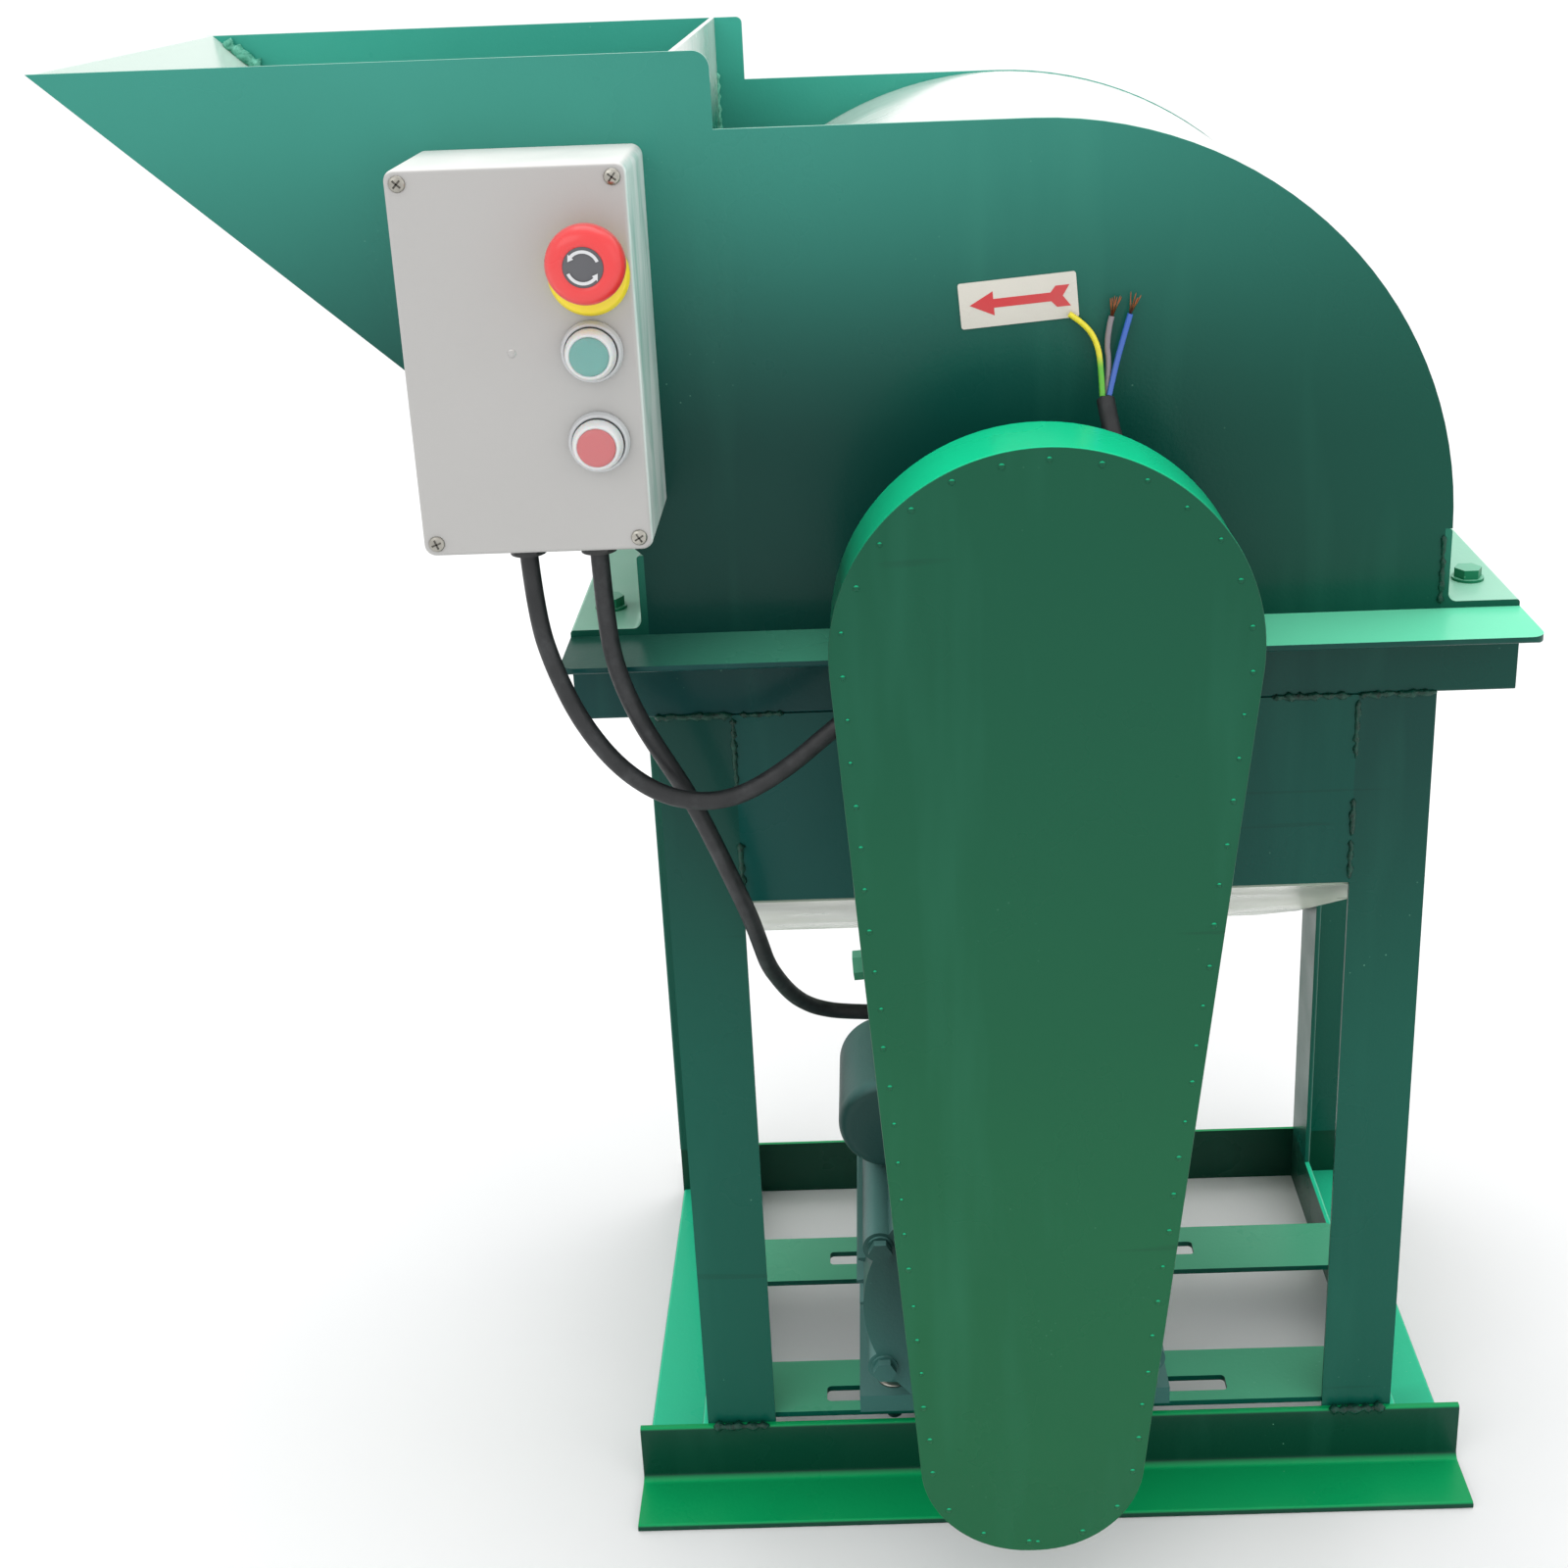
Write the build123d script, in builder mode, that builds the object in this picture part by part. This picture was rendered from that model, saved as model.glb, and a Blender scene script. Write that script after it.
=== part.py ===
from build123d import *

# Belt-driven hammer mill for grain, standing on a frame of angle iron.
# +X runs towards the rounded end of the hood, +Y to the back, +Z up. Millimetres.
# The origin is on the floor, under the middle of the machine's overall box.

import os
from math import acos, cos, degrees, hypot, pi, radians, sin, tan

os.makedirs("parts", exist_ok=True)

# ---------------------------------------------------------------- driving sizes

# Casing and stand
casing_length = 452.0        # hood and chute, end to end along X
casing_depth = 306.0         # between the outer faces of the two side plates
frame_height = 604.0         # floor to the top of the stand
hopper_reach = 258.0         # hopper's tip, beyond the left end of the stand
hopper_rise = 322.0          # hopper's rim, above the top of the stand
discharge_height = 433.0     # lower edge of the front chute plate
guard_reach = 123.0          # front of the belt guard, ahead of the casing

# Stock
sheet = 3.0
angle_leg = 45.0
rail_leg = 50.0              # the long top rails and the depth of every top rail
angle_wall = 4.0
angle_root_radius = 5.0
angle_toe_radius = 2.0

# Rotor
bearing_height = 47.6        # shaft centre above the foot of a 35 mm pillow block
hood_radius = 234.0          # outer edge of the side plates, about the rotor
wrap_inset = 0.5             # curved sheet, inside that edge
shaft_radius = 17.5
barrel_radius = 25.0         # thick middle of the rotor shaft
disc_radius = 120.0
disc_thickness = 8.0
disc_count = 5
pin_circle_radius = 95.0
pin_radius = 8.0
pin_head_radius = 12.0
pin_head = 4.0
hammer_reach = 100.0         # pin centre to the hammer's tip
hammer_tail = 20.0           # pin centre to the hammer's other end
hammer_width = 40.0
hammer_thickness = 6.0
running_clearance = 0.08
spacer_wall = 4.0
side_play = 0.5              # hammer to its spacers, each side
screen_gap = 10.0            # hammer tips to the screen
screen_hole_radius = 5.0
screen_hole_rows = 9
screen_hole_columns = 8
rotor_end_gap = 15.0         # outer discs to the side plates

# Motor, frame size 100
motor_offset = 18.0          # motor shaft, to the left of the rotor shaft
motor_height = 100.0
motor_foot_spacing_x = 160.0
motor_foot_spacing_y = 140.0
motor_foot_width = 205.0
motor_foot_length = 176.0
motor_foot_pad = 44.0
motor_foot_thickness = 13.0
motor_radius = 97.0
motor_body_length = 186.0
motor_shaft_radius = 14.0
foot_line = 16.0             # front foot bolts, behind the casing's front face
bar_width = 48.0
slot_length = 85.0
slot_width = 14.0
slot_corner_radius = 3.0
slot_spacing = 183.0
slot_shift = 9.0             # middle of the slots, to the right of the motor shaft

# Belt drive
rotor_pulley_radius = 75.0
motor_pulley_radius = 56.0
pulley_width = 35.0
belt_pitch = 15.0            # between the two belts
belt_width = 13.0
belt_height = 8.0
belt_proud = 0.5             # belt's back above the pulley's rim
belt_clearance = 0.3
groove_half_angle = 18.0
groove_depth = 11.0
belt_plane = 94.5            # ahead of the casing

# Belt guard
guard_sheet = 1.5
guard_depth = 51.0
guard_top_radius = 111.0
guard_top_dx = -5.0          # its centre from the rotor's
guard_top_dz = -22.0
guard_corner_radius = 64.0
guard_foot_dx = 2.3          # middle of its two lower corners from the motor shaft
guard_foot_dz = -35.0
guard_foot_half = 2.0        # half of the flat at the bottom
bracket_wall = 4.0
bracket_height = 25.0
bracket_levels = (448.5, 622.5)
bracket_gaps = (0.0, 1.5)    # to the band, where its flank starts to curve

# Control box
box_width = 120.0
box_height = 200.0
box_depth = 77.0
box_lid_depth = 22.0
box_wall = 3.0
box_bottom = 680.0
box_from_casing = 15.5       # its right side, to the right of the casing's left end
box_corner_radius = 6.0
box_screw_inset = 6.0
button_x_inset = 23.5        # push buttons, in from the box's right side
estop_x_inset = 20.5         # emergency stop, likewise
estop_height = 154.0         # each button, above the box's bottom
start_height = 106.5
stop_height = 59.5
button_hole_radius = 11.2
button_travel = 4.0
button_clearance = 0.4
gland_y = 50.0               # glands, ahead of the casing
gland_length = 8.0
gland_spacing = 38.0
gland_inset = 32.5           # right gland, in from the box's right side

# Cords
cord_diameter = 10.0
core_diameter = 3.2

# ---------------------------------------------------------------- derived places

frame_length = casing_length + 2 * angle_leg
overall_length = frame_length + hopper_reach
overall_depth = guard_reach + casing_depth + rail_leg
frame_left = -overall_length / 2 + hopper_reach
frame_right = frame_left + frame_length
casing_left = frame_left + angle_leg
casing_right = casing_left + casing_length
front = -overall_depth / 2 + guard_reach
rear = front + casing_depth
mid_y = (front + rear) / 2

rotor_x = casing_right + angle_wall - hood_radius
rotor_z = frame_height + bearing_height
hopper_tip_x = frame_left - hopper_reach
hopper_top = frame_height + hopper_rise
motor_x = rotor_x - motor_offset
motor_z = angle_leg + angle_wall + motor_height
tip_radius = pin_circle_radius + hammer_reach
screen_radius = hypot(tip_radius, hammer_width / 2) + screen_gap
wrap_radius = hood_radius - wrap_inset


def save(piece, name):
    """Label a finished sub-part and write it."""
    piece.part.label = name
    export_step(piece.part, f"parts/{name}.step")


def angle_iron(corner, along_first, run_direction, first_leg, second_leg, length):
    """Angle iron with its outer corner line starting at corner.

    The first leg points along_first, the second is a quarter turn from it about
    run_direction, and the bar runs that way.
    """
    section = Plane(origin=corner, x_dir=along_first, z_dir=run_direction)
    with BuildPart() as bar:
        with BuildSketch(section) as profile:
            with BuildLine():
                Polyline(
                    (0, 0),
                    (first_leg, 0),
                    (first_leg, angle_wall),
                    (angle_wall, angle_wall),
                    (angle_wall, second_leg),
                    (0, second_leg),
                    close=True,
                )
            make_face()
            root = (angle_wall, angle_wall, 0)
            fillet(profile.vertices().sort_by_distance(root)[0], angle_root_radius)
            for toe in ((first_leg, angle_wall, 0), (angle_wall, second_leg, 0)):
                fillet(profile.vertices().sort_by_distance(toe)[0], angle_toe_radius)
        extrude(amount=length)
    return bar


def drilled(piece, seats, radius, depth):
    """The same piece with a round hole below each seat plane."""
    with BuildPart() as result:
        add(piece.part)
        for seat in seats:
            with BuildSketch(seat):
                Circle(radius)
            extrude(amount=-depth, mode=Mode.SUBTRACT)
    return result


def hex_bolt(seat, shank_radius, shank_length, head_radius, head_height):
    """Hexagon bolt with a round washer, its head on the seat plane's outer side."""
    washer = 1.6
    with BuildPart() as bolt:
        with BuildSketch(seat):
            Circle(head_radius * 1.15)
        extrude(amount=washer)
        with BuildSketch(seat.offset(washer)):
            RegularPolygon(head_radius, 6)
        extrude(amount=head_height)
        with BuildSketch(seat):
            Circle(shank_radius)
        extrude(amount=-shank_length)
    return bolt


# ---------------------------------------------------------------- stand

# Long base rails: foot outwards on the floor, upright leg against the legs
leg_front_face = front - angle_wall
base_front = angle_iron((frame_left, leg_front_face, 0), (0, 0, 1), (1, 0, 0),
                        angle_leg, angle_leg, frame_length)
base_rear = angle_iron((frame_left, rear, 0), (0, 1, 0), (1, 0, 0),
                       angle_leg, angle_leg, frame_length)
with BuildPart() as base_long_rails:
    add(base_front.part)
    add(base_rear.part)
save(base_long_rails, "base_long_rails")

# Side base rails, between the long ones
side_run = rear - leg_front_face
base_left = angle_iron((casing_left, leg_front_face, 0), (-1, 0, 0), (0, 1, 0),
                       angle_leg, angle_leg, side_run)
base_right = angle_iron((casing_right, rear, 0), (1, 0, 0), (0, -1, 0),
                        angle_leg, angle_leg, side_run)
with BuildPart() as base_side_rails:
    add(base_left.part)
    add(base_right.part)
save(base_side_rails, "base_side_rails")

# Front legs stand on the floor inside the base; their outer flanges are flush
# with the ends of the casing
leg_top = frame_height - rail_leg
for name, corner_x, toward in (
    ("leg_front_left", casing_left, 1),
    ("leg_front_right", casing_right, -1),
):
    if toward > 0:
        leg = angle_iron((corner_x, leg_front_face, 0), (1, 0, 0), (0, 0, 1),
                         angle_leg, angle_leg, leg_top)
    else:
        leg = angle_iron((corner_x, leg_front_face, leg_top), (-1, 0, 0), (0, 0, -1),
                         angle_leg, angle_leg, leg_top)
    save(leg, name)

# Rear legs stand on the side base rails, one leg width further out, so that the
# discharge passes between them
rear_leg_top = frame_height - angle_leg
rear_leg_length = rear_leg_top - angle_leg
leg_rear_left = angle_iron((casing_left, rear, angle_leg), (-1, 0, 0), (0, 0, 1),
                           angle_leg, angle_leg, rear_leg_length)
save(leg_rear_left, "leg_rear_left")
leg_rear_right = angle_iron((casing_right, rear, rear_leg_top), (1, 0, 0), (0, 0, -1),
                            angle_leg, angle_leg, rear_leg_length)
save(leg_rear_right, "leg_rear_right")

# Holes for the bearings' bolts and for the end angles' bolts
block_bolt_spacing = 127.0
block_bolt_hole = 6.5
block_foot = 16.0
block_bolt_length = 40.0
bearing_planes = (front - rail_leg / 2, rear + rail_leg / 2)
block_seats = [
    Plane((rotor_x + side * block_bolt_spacing / 2, y, frame_height + block_foot))
    for y in bearing_planes
    for side in (-1, 1)
]
casing_bolt = (4.0, 22.0, 8.1, 5.5)   # shank radius and length, head radius and height
casing_bolt_hole = 4.4
end_bolt_inset = 26.0
end_bolt_places = (front + 38.0, rear - 38.0)
end_seats = [
    Plane((x, y, frame_height + angle_wall))
    for x in (casing_left - end_bolt_inset, casing_right + end_bolt_inset)
    for y in end_bolt_places
]

# Long top rails: flange outwards, its outer corners rounded
flange_corner_radius = 9.0
top_front = angle_iron((frame_left, front, frame_height), (0, -1, 0), (1, 0, 0),
                       rail_leg, rail_leg, frame_length)
top_rear = angle_iron((frame_right, rear, frame_height), (0, 1, 0), (-1, 0, 0),
                      rail_leg, rail_leg, frame_length)
with BuildPart() as top_long_rails:
    add(top_front.part)
    add(top_rear.part)
    with BuildSketch(Plane(((frame_left + frame_right) / 2, mid_y, 0))):
        RectangleRounded(frame_length, casing_depth + 2 * rail_leg, flange_corner_radius)
    extrude(amount=frame_height, mode=Mode.INTERSECT)
save(drilled(top_long_rails, block_seats, block_bolt_hole, block_bolt_length),
     "top_long_rails")

# Side top rails, between the long ones
top_left = angle_iron((casing_left, rear, frame_height), (-1, 0, 0), (0, -1, 0),
                      angle_leg, angle_leg, casing_depth)
top_right = angle_iron((casing_right, front, frame_height), (1, 0, 0), (0, 1, 0),
                       angle_leg, angle_leg, casing_depth)
with BuildPart() as top_side_rails:
    add(top_left.part)
    add(top_right.part)
save(drilled(top_side_rails, end_seats, casing_bolt_hole, casing_bolt[1]), "top_side_rails")

# Two slotted flat bars carry the motor: one inside the front legs, one on the side
# rails
bar_bottom = angle_leg
bolt_lines = (front + foot_line, front + foot_line + motor_foot_spacing_y)
bolt_columns = (motor_x - motor_foot_spacing_x / 2, motor_x + motor_foot_spacing_x / 2)
front_bar_box = (casing_left + angle_wall, casing_right - angle_wall, front)
rear_bar_box = (casing_left - angle_wall, casing_right + angle_wall,
                bolt_lines[1] - bar_width / 2)
with BuildPart() as motor_bars:
    for (bar_left, bar_right, bar_front), slot_y in zip((front_bar_box, rear_bar_box),
                                                         bolt_lines):
        bar_plane = Plane(((bar_left + bar_right) / 2, bar_front + bar_width / 2, bar_bottom))
        with BuildSketch(bar_plane) as bar_outline:
            Rectangle(bar_right - bar_left, bar_width)
            chamfer(bar_outline.vertices(), angle_root_radius)
        extrude(amount=angle_wall)
        for side in (-1, 1):
            slot_x = motor_x + slot_shift + side * slot_spacing / 2
            with BuildSketch(Plane((slot_x, slot_y, bar_bottom))):
                RectangleRounded(slot_length, slot_width, slot_corner_radius)
            extrude(amount=angle_wall, mode=Mode.SUBTRACT)
save(motor_bars, "motor_bars")

# ---------------------------------------------------------------- chute

# Plates below the stand's top, closing the space around the screen. The sloping
# floor starts under the front plate and runs out between the rear legs.
floor_slope = 31.3
floor_end_y = rear + rail_leg
floor_left = casing_left + angle_wall
floor_right = casing_right - angle_wall
spout_taper = 22.0           # how far each side of the floor draws in at its end
floor_fall = tan(radians(floor_slope))
outlet_height = 120.0        # open height above the floor at the back
chute_top = frame_height


def floor_z(y):
    """Top of the sloping floor at a given y."""
    return discharge_height - floor_fall * (y - front)


with BuildPart() as chute_front_plate:
    with BuildSketch(Plane.XZ.offset(-leg_front_face)):
        with BuildLine():
            Polyline(
                (casing_left + angle_leg, discharge_height),
                (casing_right - angle_leg, discharge_height),
                (casing_right - angle_leg, leg_top),
                (casing_left + angle_leg, leg_top),
                close=True,
            )
        make_face()
    extrude(amount=-angle_wall)
save(chute_front_plate, "chute_front_plate")

rear_plate_bottom = floor_z(rear) + outlet_height
with BuildPart() as chute_rear_plate:
    with BuildSketch(Plane.XZ.offset(-(rear - angle_wall))):
        with BuildLine():
            Polyline(
                (floor_left, rear_plate_bottom),
                (floor_right, rear_plate_bottom),
                (floor_right, chute_top),
                (floor_left, chute_top),
                close=True,
            )
        make_face()
    extrude(amount=-angle_wall)
save(chute_rear_plate, "chute_rear_plate")

# Side plates run from behind the front legs' flanges to the back
side_plate_front = leg_front_face + angle_leg
with BuildPart() as chute_sides:
    for outer_x, direction in ((casing_left, 1), (casing_right, -1)):
        with BuildSketch(Plane.YZ.offset(outer_x)):
            with BuildLine():
                Polyline(
                    (side_plate_front, floor_z(side_plate_front)),
                    (rear, floor_z(rear)),
                    (rear, chute_top),
                    (front, chute_top),
                    (front, leg_top),
                    (side_plate_front, leg_top),
                    close=True,
                )
            make_face()
        extrude(amount=direction * angle_wall)
save(chute_sides, "chute_sides")

# Sloping floor: a trapezoid sheet whose top surface meets the front plate's edge
floor_plane = Plane(
    origin=((floor_left + floor_right) / 2, front, discharge_height),
    x_dir=(1, 0, 0),
    z_dir=(0, sin(radians(floor_slope)), cos(radians(floor_slope))),
)
floor_half = (floor_right - floor_left) / 2
floor_run = (floor_end_y - front) / cos(radians(floor_slope))
straight_run = (rear - front) / cos(radians(floor_slope))
corner_cut = 1.4 * angle_root_radius
front_trim = sheet * floor_fall      # keeps the lower edge behind the front legs
with BuildPart() as discharge_floor:
    with BuildSketch(floor_plane):
        with BuildLine():
            Polyline(
                (-floor_half, front_trim + corner_cut),
                (-floor_half + corner_cut, front_trim),
                (floor_half - corner_cut, front_trim),
                (floor_half, front_trim + corner_cut),
                (floor_half, straight_run),
                (floor_half - spout_taper, floor_run),
                (-floor_half + spout_taper, floor_run),
                (-floor_half, straight_run),
                close=True,
            )
        make_face()
    extrude(amount=-sheet)
save(discharge_floor, "discharge_floor")

# ---------------------------------------------------------------- screen

# Half-round screen under the rotor, with a flat lip along each top edge
screen_front = front + sheet
screen_depth = casing_depth - sheet - angle_wall
hood_depth = casing_depth - 2 * sheet
screen_outer = screen_radius + sheet
rotor_plane = Plane(origin=(rotor_x, 0, rotor_z), x_dir=(1, 0, 0), z_dir=(0, -1, 0))
with BuildPart() as screen:
    with BuildSketch(rotor_plane.offset(-screen_front)):
        Circle(screen_outer)
        Circle(screen_radius, mode=Mode.SUBTRACT)
        with Locations((0, screen_outer)):
            Rectangle(2 * screen_outer, 2 * screen_outer, mode=Mode.SUBTRACT)
        with BuildLine():
            left_reach = casing_left - rotor_x
            Polyline((left_reach, 0), (-screen_radius, 0), (-screen_radius, -sheet),
                     (left_reach, -sheet), close=True)
        make_face()
        with BuildLine():
            right_reach = casing_right - rotor_x
            Polyline((right_reach, 0), (screen_radius, 0), (screen_radius, -sheet),
                     (right_reach, -sheet), close=True)
        make_face()
    extrude(amount=-screen_depth)
    row_turn = 160.0 / screen_hole_rows
    column_step = screen_depth / (screen_hole_columns + 1)
    for row in range(screen_hole_rows):
        turn = radians(190 + row_turn * (row + 0.5))
        outward = (cos(turn), 0, sin(turn))
        for column in range(screen_hole_columns):
            hole_y = screen_front + column_step * (column + 1)
            hole_plane = Plane(origin=(rotor_x, hole_y, rotor_z), x_dir=(0, 1, 0), z_dir=outward)
            with BuildSketch(hole_plane.offset(screen_radius - sheet)):
                Circle(screen_hole_radius)
            extrude(amount=3 * sheet, mode=Mode.SUBTRACT)
save(screen, "screen")

# ---------------------------------------------------------------- hood and hopper

strip_start = casing_left + 27.0   # the lower strip begins this far along the casing
notch_x = rotor_x - 168.7          # right end of the hopper's rim
rim_corner_radii = (9.0, 4.0)     # front and rear plate
cross_plate_inset = 15.0
hood_top = rotor_z + hood_radius

for name, face_y, rim_corner_radius in (
    ("hood_side_front", front, rim_corner_radii[0]),
    ("hood_side_rear", rear - sheet, rim_corner_radii[1]),
):
    with BuildPart() as hood_side:
        with BuildSketch(Plane.XZ.offset(-face_y)):
            with BuildLine():
                Polyline(
                    (rotor_x, hood_top),
                    (notch_x, hood_top),
                    (notch_x, hopper_top),
                    (hopper_tip_x, hopper_top),
                    (casing_left, rotor_z),
                    (casing_left, frame_height),
                    (strip_start, frame_height),
                    (strip_start, rotor_z),
                    (rotor_x + hood_radius, rotor_z),
                )
                CenterArc((rotor_x, rotor_z), hood_radius, 0, 90)
            make_face()
        extrude(amount=-sheet)
        rim_corner = hood_side.edges().filter_by(Axis.Y).sort_by_distance(
            (notch_x, face_y, hopper_top))[0]
        fillet(rim_corner, rim_corner_radius)
        with BuildSketch(rotor_plane.offset(-face_y)):
            Circle(shaft_radius + 2.5)
        extrude(amount=-sheet, mode=Mode.SUBTRACT)
    save(hood_side, name)

# Strips under the hood's plates, notched for the shaft
with BuildPart() as shaft_strips:
    for face_y in (front, rear - sheet):
        strip_middle = (strip_start + casing_right) / 2
        with BuildSketch(Plane.XZ.offset(-face_y)):
            with Locations((strip_middle, (frame_height + rotor_z) / 2)):
                Rectangle(casing_right - strip_start, rotor_z - frame_height)
            with Locations((rotor_x, rotor_z)):
                Circle(shaft_radius + 2.5, mode=Mode.SUBTRACT)
        extrude(amount=-sheet)
save(shaft_strips, "shaft_strips")

# Curved sheet between the plates: from the right end over the rotor, and down to the
# foot of the hopper's cross plate
cross_plate_x = notch_x - cross_plate_inset
wrap_reach = rotor_x - cross_plate_x
wrap_end = 180 - degrees(acos(wrap_reach / (wrap_radius - sheet)))
with BuildPart() as hood_wrap:
    with BuildSketch(rotor_plane.offset(-screen_front)):
        with BuildLine():
            over = CenterArc((0, 0), wrap_radius, 0, wrap_end)
            under = CenterArc((0, 0), wrap_radius - sheet, 0, wrap_end)
            Line(over @ 0, under @ 0)
            Line(over @ 1, under @ 1)
        make_face()
    extrude(amount=-hood_depth)
save(hood_wrap, "hood_wrap")

# Cross plate that closes the hopper towards the hood, down to the wrap's end
cross_plate_foot = rotor_z + (wrap_radius - sheet) * sin(radians(wrap_end))
cross_plate_bottom = cross_plate_foot - 12.0
with BuildPart() as hopper_cross_plate:
    with BuildSketch(Plane.XZ.offset(-screen_front)):
        with BuildLine():
            Polyline(
                (cross_plate_x - 2 * sheet, cross_plate_bottom),
                (cross_plate_x - sheet, cross_plate_bottom),
                (cross_plate_x - sheet, hopper_top),
                (cross_plate_x - 2 * sheet, hopper_top),
                close=True,
            )
        make_face()
    extrude(amount=-hood_depth)
save(hopper_cross_plate, "hopper_cross_plate")

# Sloping hopper floor between the plates, along their lower edge
slope_run = casing_left - hopper_tip_x
slope_drop = hopper_top - rotor_z
slope_length = hypot(slope_run, slope_drop)
across = (sheet * slope_drop / slope_length, sheet * slope_run / slope_length)
tip_cut = sheet * slope_length / slope_drop
with BuildPart() as hopper_floor:
    with BuildSketch(Plane.XZ.offset(-screen_front)):
        with BuildLine():
            Polyline(
                (hopper_tip_x, hopper_top),
                (casing_left, rotor_z),
                (casing_left + across[0], rotor_z + across[1]),
                (hopper_tip_x + tip_cut, hopper_top),
                close=True,
            )
        make_face()
    extrude(amount=-hood_depth)
save(hopper_floor, "hopper_floor")

# End angles: upright leg on the hood's end, foot bolted down on the side rails
end_angle_top = rotor_z - frame_height
end_left = angle_iron((casing_left, front, frame_height), (-1, 0, 0), (0, 1, 0),
                      angle_leg, end_angle_top, casing_depth)
end_right = angle_iron((casing_right, rear, frame_height), (1, 0, 0), (0, -1, 0),
                       angle_leg, end_angle_top, casing_depth)
with BuildPart() as hood_end_angles:
    add(end_left.part)
    add(end_right.part)
save(drilled(hood_end_angles, end_seats, casing_bolt_hole, casing_bolt[1]), "hood_end_angles")

# Arrow plate on the hood's front, showing which way the rotor turns
arrow_plate_size = (64.0, 25.0)
arrow_plate_thickness = 1.0
arrow_plate_centre = (rotor_x - 9.0, rotor_z + 138.0)
with BuildPart() as arrow_plate:
    arrow_plane = Plane(
        origin=(arrow_plate_centre[0], front, arrow_plate_centre[1]),
        x_dir=(cos(radians(4.5)), 0, sin(radians(4.5))),
        z_dir=(0, -1, 0),
    )
    with BuildSketch(arrow_plane):
        RectangleRounded(*arrow_plate_size, 1.5)
    extrude(amount=arrow_plate_thickness)
save(arrow_plate, "arrow_plate")

# ---------------------------------------------------------------- bearings

block_length = 167.0
block_width = 46.0
block_radius = 45.0
block_boss_width = 34.0
ring_outer_radius = 36.0
ring_outer_inside = 31.0
ring_inner_outside = 24.5
ring_outer_width = 19.0
ring_inner_width = 42.0

with BuildPart() as bearing_housings:
    for y in bearing_planes:
        with BuildSketch(Plane((rotor_x, y, frame_height))):
            RectangleRounded(block_length, block_width, 12)
        extrude(amount=block_foot)
        with BuildSketch(rotor_plane.offset(-y)):
            Circle(block_radius)
            with Locations((0, -bearing_height / 2)):
                Rectangle(2 * block_radius, bearing_height)
        extrude(amount=block_boss_width / 2, both=True)
        with BuildSketch(rotor_plane.offset(-y)):
            Circle(ring_outer_radius)
        extrude(amount=block_width / 2, both=True, mode=Mode.SUBTRACT)
save(drilled(bearing_housings, block_seats, block_bolt_hole, block_foot), "bearing_housings")

with BuildPart() as bearing_outer_rings:
    for y in bearing_planes:
        with BuildSketch(rotor_plane.offset(-y)):
            Circle(ring_outer_radius)
            Circle(ring_outer_inside, mode=Mode.SUBTRACT)
        extrude(amount=ring_outer_width / 2, both=True)
save(bearing_outer_rings, "bearing_outer_rings")

with BuildPart() as bearing_inner_rings:
    for y in bearing_planes:
        with BuildSketch(rotor_plane.offset(-y)):
            Circle(ring_inner_outside)
            Circle(shaft_radius, mode=Mode.SUBTRACT)
        extrude(amount=ring_inner_width / 2, both=True)
save(bearing_inner_rings, "bearing_inner_rings")

# ---------------------------------------------------------------- rotor

pulley_front = front - belt_plane - pulley_width / 2
pulley_back = pulley_front + pulley_width
shaft_front = pulley_front - 2.0
shaft_back = bearing_planes[1] + ring_inner_width / 2 + 1.0
barrel_front = front + sheet + 4.0
barrel_back = rear - sheet - 4.0
disc_step = (casing_depth - 2 * sheet - 2 * rotor_end_gap - disc_thickness) / (disc_count - 1)
disc_fronts = [front + sheet + rotor_end_gap + disc_step * i for i in range(disc_count)]

with BuildPart() as rotor_shaft:
    with BuildSketch(rotor_plane.offset(-shaft_front)):
        Circle(shaft_radius)
    extrude(amount=-(shaft_back - shaft_front))
    with BuildSketch(rotor_plane.offset(-barrel_front)):
        Circle(barrel_radius)
    extrude(amount=-(barrel_back - barrel_front))
    chamfer(rotor_shaft.edges().filter_by(GeomType.CIRCLE).sort_by(Axis.Y)[0], 1.5)
save(rotor_shaft, "rotor_shaft")

pin_turns = (45.0, 135.0, 225.0, 315.0)
pin_places = [
    (pin_circle_radius * cos(radians(turn)), pin_circle_radius * sin(radians(turn)))
    for turn in pin_turns
]

with BuildPart() as rotor_discs:
    for disc_y in disc_fronts:
        with BuildSketch(rotor_plane.offset(-disc_y)):
            Circle(disc_radius)
            Circle(barrel_radius, mode=Mode.SUBTRACT)
            with Locations(*pin_places):
                Circle(pin_radius, mode=Mode.SUBTRACT)
        extrude(amount=-disc_thickness)
save(rotor_discs, "rotor_discs")

# Each bay between two discs holds one hammer of every row, side by side
bay_width = disc_step - disc_thickness
row_step = bay_width / 4


def hammer_fronts(row):
    """Front faces of the hammers of one row, one in each bay."""
    offset_in_bay = row_step * (row + 0.5) - hammer_thickness / 2
    return [y + disc_thickness + offset_in_bay for y in disc_fronts[:-1]]


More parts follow.
